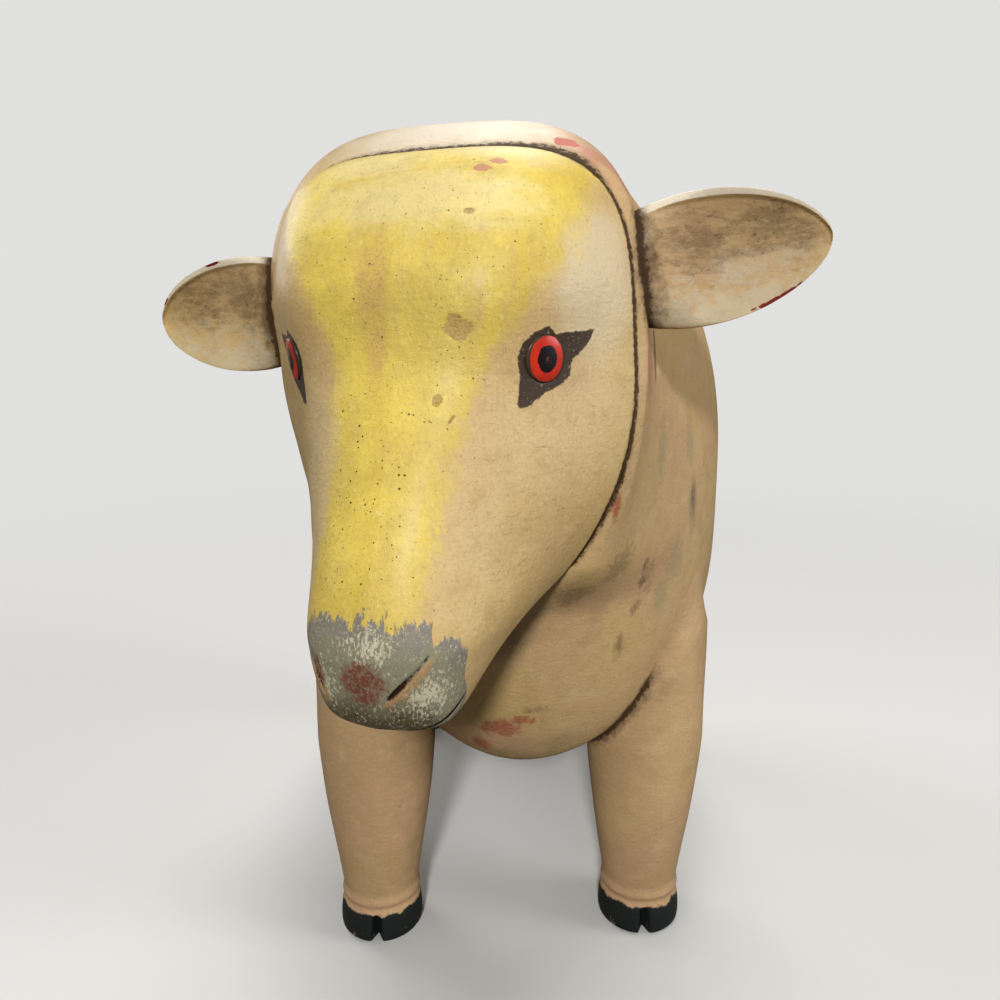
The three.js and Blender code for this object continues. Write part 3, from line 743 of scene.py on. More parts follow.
@dataclass(frozen=True)
class HeadPaint(CreamPaint):
    """Cream paint with the yellow blaze, the grey nose and the dark eye patches."""

    blaze_feather: float = 2.4
    bristle: float = 5.0

    def apply(self) -> Material:
        """Makes the head's material.

        Returns:
            The material.
        """
        bench = Bench.for_paint(self.name)
        layers = self.ground(bench)
        washed = bench.ragged("pale", 0.9, 5.0, 4.0, 0.6, 21.0)
        layers.cover(bench.step(washed, 0.1, 0.9) * 0.8, Pigment.WHITE_CREAM, 0.4)
        self._blaze(layers)
        self._nose(layers)
        self._patches(layers)
        self._wear(layers)
        return layers.seal(self.varnish_roughness)

    def _blaze(self, layers: Layers) -> None:
        """Lays the yellow blaze, thin at its edges, paler where a highlight is painted on the brow, and pricked with
        pits in upright strings.

        Args:
            layers: the surface so far.
        """
        bench = layers.bench
        cloud = bench.sway(3.4 * self.blaze_feather, 7.0, 4.0, 0.6, 6.1)
        bristles = bench.sway(self.bristle, (0.7, 0.7, 9.0), 3.0, 0.6, 2.9)
        reach = bench.attribute("blaze") + cloud + bristles
        cover = bench.step(reach, -self.blaze_feather, self.blaze_feather)
        thin = bench.step(bench.noise((3.5, 3.5, 16.0), 4.0, 0.6, shift=12.4), 0.5, 0.8) * 0.5
        tone = bench.step(bench.noise(13.0, 4.0, 0.6, shift=15.0), 0.38, 0.62)
        yellow = bench.blend(tone, Pigment.YELLOW, Pigment.DEEP_YELLOW)
        # A painted highlight on the brow: the blaze turns pale yellow where the sheen blots lie.
        worn = bench.ragged("sheen", 2.0, (6.0, 6.0, 3.0), 6.0, 0.72, 31.0)
        yellow = bench.blend(bench.step(worn, 0.1, 1.1) * 0.5, yellow, Pigment.PALE_YELLOW)
        layers.cover(cover * (1 - thin), yellow, 0.42, 0.03)
        smudge = bench.step(bench.noise((2.6, 2.6, 4.0), 6.0, 0.7, shift=22.5), 0.5, 0.8) * 0.32
        layers.cover(smudge * cover, Pigment.OLIVE_STAIN, 0.5)
        flecks = bench.noise((0.6, 0.6, 1.3), 5.0, 0.72, shift=33.3)
        layers.cover(bench.step(flecks, 0.54, 0.72) * cover * 0.3, Pigment.OLIVE_STAIN, 0.5, -0.03)
        layers.cover((1 - bench.step(flecks, 0.3, 0.44)) * cover * 0.4, Pigment.PALE_YELLOW)
        strings = bench.step(bench.noise((2.6, 2.6, 40.0), 1.0, 0.5, shift=1.3), 0.52, 0.66) * 0.5
        strung = bench.attribute("string") | strings
        layers.cover(bench.pits(0.9, 0.2, 0.6, shift=3.7) * strung * cover * 0.9, Pigment.GROOVE, 0.75, -0.16)
        layers.cover(bench.pits(0.8, 0.13, 0.22, shift=14.2) * cover * 0.8, Pigment.GRIME, 0.7, -0.1)
        layers.cover(bench.pits(2.1, 0.19, 0.4, shift=8.8) * cover * 0.8, Pigment.GROOVE, 0.75, -0.2)

    def _nose(self, layers: Layers) -> None:
        """Brushes the grey nose on in upright strokes, flecked with wear, dark below and rubbed red in front.

        Args:
            layers: the surface so far.
        """
        bench = layers.bench
        depth = bench.attribute("nose")
        strokes = bench.sway(10.0, (1.1, 1.1, 14.0), 3.0, 0.6, 4.6)
        fray = bench.sway(4.0, (0.3, 0.3, 2.4), 3.0, 0.65, 6.8)
        cover = bench.step(depth + strokes + fray - bench.attribute("gap") * 9.0, -0.5, 0.5)
        olive = bench.step(depth + bench.sway(12.0, 2.4, 5.0, 0.7, 23.1), 1.0, 4.5)
        dark = bench.step(depth + bench.sway(7.0, 2.6, 4.0, 0.65, 9.9), 10.5, 16.5)
        grey = bench.blend(olive, Pigment.BLUE_GREY, Pigment.OLIVE_GREY)
        layers.cover(cover * 0.96, bench.blend(dark, grey, Pigment.DARK_GREY), 0.38, 0.05)
        scuffed = bench.noise((0.5, 0.5, 0.8), 6.0, 0.75, shift=0.7) + bench.attribute("fleck") * 0.15
        layers.cover(bench.step(scuffed, 0.52, 0.63) * cover * 0.75, Pigment.FLECK, 0.5, -0.06)
        crumbs = bench.step(bench.noise(0.7, 4.0, 0.7, shift=17.0), 0.42, 0.54)
        rubbed = bench.ragged("nose_rub", 1.5, 1.3, 5.0, 0.7, 10.4)
        layers.cover(bench.step(rubbed, 0.3, 0.8) * (crumbs * 0.5 + 0.45), Pigment.NOSE_RED, 0.5, -0.05)
        lips = bench.ragged("lip", 2.6, 0.9, 5.0, 0.72, 16.2)
        layers.cover(bench.step(lips, 0.2, 0.9) * 0.85, Pigment.FRESH_WOOD, 0.6, -0.04)
        # Painted shade in the nostril slits, in the SHADE colour.
        split = bench.ragged("slit", 0.7, 0.6, 3.0, 0.65, 25.0)
        layers.cover(bench.step(split, 0.05, 0.35), Pigment.SHADE, 0.8)
        layers.cover(bench.step(bench.attribute("mouth"), 0.1, 0.5), Pigment.PUPIL, 0.7)

    def _patches(self, layers: Layers) -> None:
        """Paints the dark patches round the eyes.

        Args:
            layers: the surface so far.
        """
        bench = layers.bench
        ragged = bench.ragged("patch", 0.8, 0.9, 3.0, 0.65, 5.9)
        cover = bench.step(ragged, -0.15, 0.15)
        lost = bench.step(bench.noise(0.7, 4.0, 0.7, shift=14.8), 0.6, 0.68) * 0.5
        layers.cover(cover * (1 - lost), Pigment.EYE_PATCH, 0.5, 0.04)

    def _wear(self, layers: Layers) -> None:
        """Adds the chips, rubbed places and scratches, and the dark line of the seam.

        Args:
            layers: the surface so far.
        """
        bench = layers.bench
        rubbed = bench.ragged("rub", 0.9, (1.6, 1.6, 4.0), 4.0, 0.65, 26.2)
        soft = bench.step(rubbed, 0.1, 1.0)
        dots = bench.step(bench.noise(0.42, 3.0, 0.7, shift=18.3), 0.5, 0.66)
        layers.cover(soft * 0.28 + soft * dots * 0.5, Pigment.WORN_PINK, 0.5, -0.03)
        chips = bench.ragged("chip", 4.4, 2.6, 5.0, 0.72, 19.6)
        grain = bench.step(bench.noise((0.7, 0.7, 0.4), 4.0, 0.7), 0.44, 0.66) * 0.7
        wood = bench.blend(grain, Pigment.BARE_WOOD, Pigment.GRIME)
        layers.cover(bench.step(chips, -0.1, 0.5) * 0.75, wood, 0.7, -0.08)
        flakes = bench.ragged("flake", 3.0, 1.6, 4.0, 0.65, 20.3)
        layers.cover(bench.step(flakes, -0.1, 0.15) * 0.8, Pigment.UNDERCOAT, 0.55, -0.05)
        layers.cover(bench.step(bench.attribute("scratch"), 0.3, 0.8) * 0.6, Pigment.GRIME, 0.6, -0.1)
        self.grime(layers, "seam", 1.3, 0.75, 0.5)


@dataclass(frozen=True)
class BodyPaint(CreamPaint):
    """Cream paint with scuffs on the chest and flanks, dirt along the joints, painted shade in the creases and under
    the jaw, and a painted highlight along the crest.
    """

    def apply(self) -> Material:
        """Makes the body's material.

        Returns:
            The material.
        """
        bench = Bench.for_paint(self.name)
        layers = self.ground(bench)
        fray = bench.sway(1.5, (1.6, 1.6, 3.2), 5.0, 0.7, 6.6)
        crumbs = bench.step(bench.noise(0.8, 4.0, 0.7, shift=3.3), 0.36, 0.54)
        # A painted highlight along the top of the crest and back, laid in RIM_WHITE.
        painted_crest_highlight = bench.ragged("pale", 0.9, 9.0, 5.0, 0.65, 17.5)
        layers.cover(bench.step(painted_crest_highlight, 0.0, 1.0) * 0.85, Pigment.RIM_WHITE, 0.4)
        rosy = bench.step(bench.attribute("rose") + fray * 0.5, 0.1, 0.8)
        layers.cover(rosy * 0.6, Pigment.UNDERCOAT, 0.45)
        red = bench.step(bench.attribute("red_scuff") + fray, 0.15, 0.65)
        layers.cover(red * 0.6 + red * crumbs * 0.35, Pigment.CHEST_RED, 0.5, -0.04)
        wiped = bench.ragged("wipe", 1.6, (4.0, 4.0, 7.0), 5.0, 0.68, 16.6)
        layers.cover(bench.step(wiped, 0.2, 1.1) * 0.36, Pigment.OLIVE_GREY, 0.5)
        smear = bench.sway(1.3, (1.8, 1.8, 3.0), 5.0, 0.72, 30.2)
        dark = bench.step(bench.attribute("dark_scuff") + smear, 0.15, 0.85)
        layers.cover(dark * (crumbs * 0.25 + 0.5), Pigment.SCUFF, 0.6, -0.04)
        soiled = bench.step(bench.ragged("soil", 2.4, 1.7, 5.0, 0.72, 13.4), 0.3, 1.0)
        layers.cover(soiled * 0.35, Pigment.OLIVE_STAIN, 0.6)
        layers.cover(soiled * crumbs * 0.35, Pigment.GRIME, 0.6)
        flakes = bench.ragged("flake", 3.0, 2.6, 4.0, 0.65, 20.3)
        layers.cover(bench.step(flakes, -0.08, 0.08) * 0.95, Pigment.FLAKE_PINK, 0.7, -0.05)
        folded = bench.ragged("fold", 0.8, 1.4, 4.0, 0.65, 27.0)
        layers.cover(bench.step(folded, 0.3, 0.8) * 0.75, Pigment.SCUFF, 0.6)
        # Painted shade under the jaw: the chest near the head is darkened with the SHADE colour.
        layers.cover(bench.step(bench.attribute("throat") + fray * 0.12, 0.1, 0.9) * 0.85, Pigment.SHADE, 0.7)
        # Dirt and painted shade in the creases where the legs, ears and tail meet the body.
        self.grime(layers, "crease", 2.4, 0.8, 0.65)
        self.grime(layers, "seam", 1.5, 0.85, 0.6)
        return layers.seal(self.varnish_roughness)


@dataclass(frozen=True)
class LegPaint(CreamPaint):
    """Cream paint with black hooves, worn along their edges."""

    hoof_top: float = 7.9
    hoof_edge: float = 0.3
    ridge: tuple = (7.6, 8.8, 10.6, 13.0)
    worn_edge: tuple = (1.0, 3.5)

    def apply(self) -> Material:
        """Makes the legs' material.

        Returns:
            The material.
        """
        bench = Bench.for_paint(self.name)
        layers = self.ground(bench)
        parts = bench.node("ShaderNodeSeparateXYZ", None, {0: bench.place})
        height = Wire(bench, parts.outputs[2]) * (1 / MILLIMETRE)
        fresh = bench.step(bench.noise((5.0, 5.0, 1.6), 3.0, 0.6, shift=2.7), 0.4, 0.6)
        low, full, fading, high = self.ridge
        ridge = bench.step(height, low, full) * (1 - bench.step(height, fading, high))
        layers.cover(ridge * fresh * 0.7, Pigment.ROSE_TAN, 0.4)
        brush = height + bench.sway(3.4, (3.4, 3.4, 5.0), 3.0, 0.6, 7.1)
        black = 1 - bench.step(brush, self.hoof_top - self.hoof_edge, self.hoof_top + self.hoof_edge)
        layers.cover(black, Pigment.HOOF, 0.26, 0.06)
        rubbed = bench.step(bench.noise(4.2, 4.0, 0.65, shift=9.4), 0.6, 0.68)
        layers.cover(rubbed * (1 - bench.step(height, *self.worn_edge)) * 0.8, Pigment.ROSE_TAN, 0.6, -0.05)
        # Dirt and painted shade in the crease where the leg meets the body.
        self.grime(layers, "crease", 3.2, 1.2, 0.75)
        return layers.seal(self.varnish_roughness)


@dataclass(frozen=True)
class EarPaint(CreamPaint):
    """Cream paint, soiled brown in the cup, pale along the upper rim with a painted highlight there, chipped red at
    its edge, and with dirt and painted shade at its root.
    """

    def apply(self) -> Material:
        """Makes the ears' material.

        Returns:
            The material.
        """
        bench = Bench.for_paint(self.name)
        layers = self.ground(bench)
        cup, upper = bench.step(bench.attribute("cup"), 0.1, 0.6), bench.attribute("upper")
        layers.cover(cup * 0.2, Pigment.OLIVE_STAIN, 0.5)
        dirt = bench.noise((4.6, 4.6, 2.2), 6.0, 0.7, shift=5.5)
        soiled = dirt + bench.attribute("soil") * 0.3
        layers.cover(bench.step(soiled, 0.52, 0.82) * cup * 0.62, Pigment.EAR_DIRT, 0.55, -0.03)
        specks = bench.step(bench.noise(0.9, 4.0, 0.7, shift=28.4), 0.56, 0.64)
        layers.cover(specks * bench.step(soiled, 0.56, 0.74) * cup * 0.6, Pigment.GRIME, 0.6)
        worn = bench.noise((2.6, 2.6, 1.7), 5.0, 0.7, shift=10.9)
        layers.cover(bench.step(worn - upper * 0.5, 0.5, 0.72) * cup * 0.65, Pigment.EAR_GREY, 0.45)
        veins = bench.step(bench.noise((2.4, 2.4, 0.6), 4.0, 0.7, shift=29.7), 0.6, 0.68)
        layers.cover(veins * cup * 0.35, Pigment.PALE_CREAM, 0.4, 0.03)
        # Pale paint along the upper rim, with a painted highlight laid on it.
        rim = bench.step(bench.ragged("rim", 0.5, 1.4, 3.0, 0.6, 1.1), 0.4, 0.8)
        layers.cover(rim * 0.95, Pigment.RIM_WHITE, 0.35)
        chips = bench.ragged("rim_chip", 1.5, 1.1, 5.0, 0.72, 6.3)
        layers.cover(bench.step(chips, 0.4, 0.6), Pigment.CHIP_RED, 0.8, -0.06)
        # Dirt and painted shade at the ear's root, where it meets the neck.
        self.grime(layers, "crease", 4.2, 1.1, 0.9)
        return layers.seal(self.varnish_roughness)


@dataclass(frozen=True)
class EyePaint:
    """Red paint with a black pupil, chipped in its middle."""

    name: str
    pupil_radius: float = 2.2
    ring_radius: float = 3.7
    pupil_edge: float = 0.08
    ring_edge: float = 0.1
    varnish: float = 0.3
    varnish_roughness: float = 0.2

    def apply(self) -> Material:
        """Makes the eyes' material.

        Returns:
            The material.
        """
        bench = Bench.for_paint(self.name)
        tone = bench.step(bench.noise(2.2, 3.0), 0.4, 0.7)
        colour = bench.blend(tone * 0.3, Pigment.RED, Pigment.CHIP_RED)
        layers = Layers(bench, colour, bench.noise(1.5) * 0.15 + 0.3, bench.noise(0.9, 3.0) * 0.06, self.varnish)
        ring = bench.attribute("ring")
        ragged = ring + bench.sway(0.7, 0.8, 3.0, 0.6, 2.0)
        outside = bench.step(ragged, self.pupil_radius - self.pupil_edge, self.pupil_radius + self.pupil_edge)
        layers.cover(1 - outside, Pigment.PUPIL)
        middle = 1 - bench.step(ring, 0.2, 1.0)
        chipped = bench.step(bench.noise(0.5, 4.0, 0.7, shift=4.0), 0.53, 0.6) * middle
        layers.cover(chipped * 0.6, Pigment.NOSE_RED, 0.5, -0.05)
        edge = ring + bench.sway(0.5, 0.7, 3.0, 0.6, 6.0)
        rim = bench.step(edge, self.ring_radius - self.ring_edge, self.ring_radius + self.ring_edge)
        layers.cover(rim, Pigment.EYE_PATCH, 0.5)
        return layers.seal(self.varnish_roughness)


@dataclass(frozen=True)
class BareWood:
    """Plain turned wood, for the dowels inside."""

    name: str
    varnish_roughness: float = 0.5

    def apply(self) -> Material:
        """Makes the dowels' material.

        Returns:
            The material.
        """
        bench = Bench.for_paint(self.name)
        grain = bench.noise((0.6, 0.6, 14.0), 4.0, 0.6)
        colour = bench.blend(bench.step(grain, 0.4, 0.65), Pigment.BARE_WOOD, Pigment.STRAW)
        return Layers(bench, colour, grain * 0.2 + 0.6, grain * 0.08).seal(self.varnish_roughness)


@dataclass
class Section:
    """One upright slice across the body: half width, heights and roundness."""

    half_width: Array
    widest: Array
    rise: Array
    drop: Array
    upper_roundness: Array
    lower_roundness: Array

    def outline(self, share: Array) -> tuple[Array, Array]:
        """Points of the slice's left half.

        Args:
            share: the share of the way from the top (0) past the widest line (0.5) to the bottom (1).

        Returns:
            The distance across and the height of each point.
        """
        up = share <= 0.5
        roundness = np.where(up, self.upper_roundness, self.lower_roundness)
        reach = np.where(up, self.rise, -self.drop)
        angle = QUARTER_TURN * np.abs(1 - 2 * share) ** (0.5 + roundness / 4)
        across = self.half_width * bulge(np.maximum(0, np.cos(angle)), roundness)
        return across, self.widest + reach * bulge(np.sin(angle), roundness)


@dataclass
class BodyBlock:
    """The body with the neck and chest on it, as carved from one block."""

    paint: BodyPaint
    belly: float = 48.0
    width: float = 118.0
    back: float = 188.0
    widest: float = 105.0
    neck_length: float = 80.0
    barrel_length: float = 58.0
    rump_length: float = 62.0
    rump_roundness: float = 2.3
    upper_roundness: float = 2.5
    lower_roundness: float = 2.8
    chest_depth: float = 46.0
    crest_rise: float = 11.5
    crest_from_seam: float = 28.0
    crest_fall: float = 80.0
    neck_flare: float = 0.15
    seam_to_front_legs: float = 42.0
    head_turn: float = math.radians(16)
    head_shift: float = 13.6
    crest_lean_held: float = 20.0
    crest_lean_run: float = 68.0
    chest_lean_run: float = 36.0
    head_width: float = 71.6
    head_widest: float = 147.0
    crown: float = 187.0
    jaw: float = 96.0
    seam_upper_roundness: float = 3.6
    seam_lower_roundness: float = 1.8
    jaw_offset: float = 1.75
    jaw_offset_run: tuple = (125.0, 167.0)
    throat_depth: float = 9.0
    throat_top: float = 111.0
    throat_run: float = 34.0
    rim_round: float = 0.8
    collar: float = 2.6
    collar_run: float = 4.0
    collar_fade: tuple = (7.0, 40.0)
    right_collar: tuple = (142.0, 162.0)
    left_collar: tuple = (102.0, 158.0)
    wobble: float = 0.35
    wobble_size: float = 24.0
    wobble_start: tuple = (0.5, 12.0)
    front_lines: int = 14
    neck_lines: int = 100
    barrel_lines: int = 46
    rump_lines: int = 62
    half_lines: int = 172
    red_scuffs: tuple = (
        ((-3.0, -27.0, 66.0), (7.5, 6.0, 5.2)), ((-7.4, -20.0, 59.5), (3.6, 5.0, 5.0)),
        ((1.8, -28.3, 68.3), (5.5, 4.0, 3.0)), ((18.8, -50.2, 122.0), (1.4, 2.2, 6.0)),
    )
    dark_scuffs: tuple = (
        ((5.2, -29.4, 71.4), (6.5, 3.5, 2.4)), ((23.8, -27.0, 85.6), (2.4, 3.0, 6.5)),
        ((27.5, -27.5, 95.3), (2.8, 2.8, 3.4)), ((28.2, -28.9, 101.5), (2.0, 2.4, 4.0)),
        ((28.2, -30.8, 106.3), (2.2, 2.4, 3.8)), ((41.6, -15.9, 118.0), (2.0, 3.5, 8.0)),
        ((-30.0, 60.0, 150.0), (3.0, 12.0, 5.0)), ((44.0, 70.0, 120.0), (4.0, 9.0, 4.0)),
    )
    soils: tuple = (
        ((12.5, -42.5, 102.5), (9.0, 7.0, 8.0)), ((20.0, -40.0, 109.0), (8.0, 8.0, 9.0)),
        ((30.0, -29.0, 100.0), (4.0, 5.0, 12.0)),
    )
    wipes: tuple = (
        ((41.6, -15.9, 116.8), (4.0, 6.0, 13.0)), ((37.1, -21.3, 105.0), (6.0, 6.0, 11.0)),
        ((33.4, -22.6, 95.8), (5.0, 5.0, 9.0)), ((40.1, -17.3, 131.0), (4.0, 5.0, 9.0)),
        ((30.0, -32.0, 131.0), (4.0, 5.0, 11.0)), ((50.0, 40.0, 140.0), (12.0, 30.0, 16.0)),
        ((-48.0, 20.0, 120.0), (12.0, 26.0, 18.0)),
    )
    flakes: tuple = (
        ((9.0, -42.5, 188.0), (4.2, 5.4, 4.0)), ((3.4, -46.6, 188.0), (6.0, 1.5, 1.8)),
    )
    roses: tuple = (
        ((13.5, -43.0, 185.0), (5.0, 6.0, 5.0)), ((18.6, -40.5, 180.5), (5.0, 6.0, 7.0)),
        ((22.0, -40.0, 170.0), (4.0, 6.0, 9.0)), ((24.5, -42.0, 150.0), (4.0, 6.0, 12.0)),
    )
    # The body's washes are a painted highlight along the top of the crest and back.
    washes: tuple = (((-16.0, -34.0, 196.0), (34.0, 36.0, 18.0)), ((0.0, 20.0, 196.0), (26.0, 60.0, 12.0)))
    fold: tuple = ((28.4, -36.0, 159.0), (26.4, -37.1, 140.0))
    fold_width: tuple = (0.2, 2.0)
    # throat_shade and throat_fade place the painted shade on the chest under the jaw.
    throat_shade: tuple = (4.0, 21.0)
    throat_fade: tuple = (-24.0, -6.0)
    crown_run: tuple = (178.0, 187.0)
    crown_dirt: float = 2.2
    clean_flank: tuple = (72.0, 92.0, 120.0, 130.0)
    mesh: Mesh = field(init=False)

    def section(self, from_seam: Array) -> Section:
        """Slices across the body.

        Args:
            from_seam: distances back from the head's seam.

        Returns:
            The slices there.
        """
        along = from_seam / self.neck_length
        settle = ease(along)
        chest = np.clip(from_seam / self.chest_depth, 0, 1)
        rising = np.sin(QUARTER_TURN * np.clip(from_seam / self.crest_from_seam, 0, 1))
        falling = np.cos(QUARTER_TURN * np.clip((from_seam - self.crest_from_seam) / self.crest_fall, 0, 1)) ** 2
        rump = np.clip((from_seam - self.neck_length - self.barrel_length) / self.rump_length, 0, 1)
        shrink = np.maximum(0, 1 - rump**self.rump_roundness) ** (1 / self.rump_roundness)
        widest = lerp(self.head_widest, self.widest, settle)
        top = lerp(self.crown, self.back, settle) + self.crest_rise * rising * falling
        bottom = self.belly + (self.jaw - self.belly) * (1 - np.sqrt(1 - (1 - chest) ** 2))
        return Section(
            lerp(self.head_width, self.width, ease(along, self.neck_flare)) / 2 * shrink,
            widest,
            (top - widest) * shrink,
            (widest - bottom) * shrink,
            lerp(self.seam_upper_roundness, self.upper_roundness, settle),
            lerp(self.seam_lower_roundness, self.lower_roundness, settle),
        )

    def skin(self, from_seam: Array, round_share: Array) -> Array:
        """Points of the body's surface.

        Args:
            from_seam: distances back from the head's seam. Those from 0 to -1 rise from the jaw to the flat.
            round_share: shares of the way round from the top, down the left side (1 at the bottom) and up (2).

        Returns:
            One point for each pair.
        """
        lifted = np.clip(-from_seam, 0, 1)
        from_seam = np.maximum(from_seam, 0)
        section = self.section(from_seam)
        left = round_share <= 1
        across, height = section.outline(np.where(left, round_share, 2 - round_share))
        height = lerp(height, np.maximum(height, self.throat_top), lifted)
        collar = self.collar * ease(from_seam / self.collar_run) * (1 - band(from_seam, *self.collar_fade))
        collar *= np.where(left, band(height, *self.left_collar), band(height, *self.right_collar))
        across *= 1 + collar / np.maximum(section.half_width, 1)
        across = np.where(left, across, -across)
        depth = section.rise + section.drop
        level = np.clip((height - section.widest + section.drop) / np.maximum(depth, MERGE_GAP), 0, 1)
        swing = 1 - ease(from_seam / self.neck_length)
        turn = self.head_turn * swing
        across = across + self.offset(height) * swing
        run = lerp(self.chest_lean_run, self.crest_lean_run, level)
        lean = -self.head_shift * (1 - ease((from_seam - self.crest_lean_held * level**3) / run, 1 - level))
        throat = self.throat_depth * band(self.throat_top - height, 0, self.throat_top - self.jaw)
        throat *= 1 - ease(from_seam / self.throat_run)
        y = from_seam - self.seam_to_front_legs - across * np.sin(turn) + throat
        return np.stack([lean + across * np.cos(turn), y, height], axis=1)

    def offset(self, height: Array) -> Array:
        """How far to its left the head is carved off its middle line at a height."""
        return self.jaw_offset * (1 - band(height, *self.jaw_offset_run))

    def rim(self) -> Array:
        """The edge of the flat that the head is glued to."""
        shares = np.linspace(0, 2, 8 * self.half_lines)
        return self.skin(-np.ones_like(shares), shares)

    def build(self) -> None:
        """Models the block."""
        swing = np.linspace(0, QUARTER_TURN, self.neck_lines)
        neck = self.neck_length * (1 - np.cos(swing))
        barrel = self.neck_length + np.linspace(0, self.barrel_length, self.barrel_lines)
        closing = np.sin(np.linspace(0, QUARTER_TURN, self.rump_lines))
        rump = self.neck_length + self.barrel_length + self.rump_length * closing
        front = np.linspace(-1, 0, self.front_lines)
        rows = np.concatenate([front[:-1], neck[:-1], barrel[:-1], rump])
        columns = np.linspace(0, 2, 2 * self.half_lines + 1)
        mesh, round_share, from_seam = grid(columns, rows)
        points = self.skin(from_seam, round_share)
        move_to(mesh, points)
        store(mesh, "from_seam", from_seam)
        close_up(mesh)
        points, from_seam = points_of(mesh), stored(mesh, "from_seam")
        rise = rounding(np.maximum(from_seam, 0), self.rim_round) * band(points[:, 2], self.jaw, self.throat_top)
        rise += hollows(points, self.wobble, self.wobble_size) * band(from_seam, *self.wobble_start)
        ahead = Vector((-math.sin(self.head_turn), -math.cos(self.head_turn), 0))
        carve(mesh, rise, from_seam < MERGE_GAP, ahead)
        mesh.verts.layers.float.remove(mesh.verts.layers.float["from_seam"])
        self.mesh = mesh

    def mark(self, neighbours: Sequence[BVHTree], head: BVHTree) -> None:
        """Notes where the block is scuffed, where dirt lies, and where shade and a highlight are painted on it.

        Args:
            neighbours: the search trees of the pieces that sit on it.
            head: the head's search tree.
        """
        points = points_of(self.mesh)
        height = points[:, 2]
        from_rim = rim_distance(points, self.rim())
        store(self.mesh, "seam", from_rim / (1 + self.crown_dirt * band(height, *self.crown_run)))
        # The throat mask is painted shade on the chest near the jaw's underside, fading out lower down.
        under = 1 - band(height - self.throat_top, *self.throat_fade)
        from_head = nearness(points, [head], self.throat_shade[1])
        store(self.mesh, "throat", (1 - band(from_head, *self.throat_shade)) * under)
        low, full, fading, high = self.clean_flank
        clean = band(height, low, full) * (1 - band(height, fading, high))
        store(self.mesh, "crease", nearness(points, neighbours, DIRT_AND_SHADE_REACH) + CLEAN_GAP * clean)
        store(self.mesh, "fold", 1 - band(line_distance(points, *self.fold)[0], *self.fold_width))
        store(self.mesh, "flake", flaked(points, self.flakes))
        # Of these, the pale blots are the painted highlight along the crest and back.
        store_blots(self.mesh, points, {
            "pale": (self.washes, 1.2), "rose": (self.roses, 1.6), "soil": (self.soils, 1.3),
            "wipe": (self.wipes, 1.4), "red_scuff": (self.red_scuffs, 1.0), "dark_scuff": (self.dark_scuffs, 1.0),
        })


def rim_distance(points: Array, rim: Array) -> Array:
    """The distance from points to the seam's edge.

    Args:
        points: the points, one row each.
        rim: close points along the edge.

    Returns:
        One distance for each point.
    """
    tree = KDTree(len(rim))
    for index, place in enumerate(rim):
        tree.insert(place, index)
    tree.balance()
    return np.array([tree.find(point)[2] for point in points])


def blots(points: Array, spots: Sequence[tuple]) -> Array:
    """Soft round spots on a surface.

    Args:
        points: the points, one row each.
        spots: the centre and the three radii of each spot.

    Returns:
        1 at a spot's centre, falling to 0 at its edge.
    """
    found = np.zeros(len(points))
    for centre, radii in spots:
        away = np.linalg.norm((points - np.array(centre)) / np.array(radii), axis=1)
        found = np.maximum(found, 1 - np.minimum(away, 1))
    return found


def flaked(points: Array, spots: Sequence[tuple], edge: float = 0.45) -> Array:
    """Round spots with a steep edge, as chipped paint has.

    Args:
        points: the points, one row each.
        spots: the centre and the three radii of each spot.
        edge: the height of the soft spot at which the edge lies, from 0 to 1.

    Returns:
        Above 0 inside a spot, below 0 outside it.
    """
    return FLAKE_SLOPE * (blots(points, spots) - edge)


def store_blots(mesh: Mesh, points: Array, marks: dict[str, tuple[tuple, float]]) -> None:
    """Stores soft round spots of several kinds.

    Args:
        mesh: the mesh that keeps them.
        points: its points, one row each.
        marks: for each kind's attribute, the spots and their strength.
    """
    for name, (spots, strength) in marks.items():
        store(mesh, name, blots(points, spots) * strength)


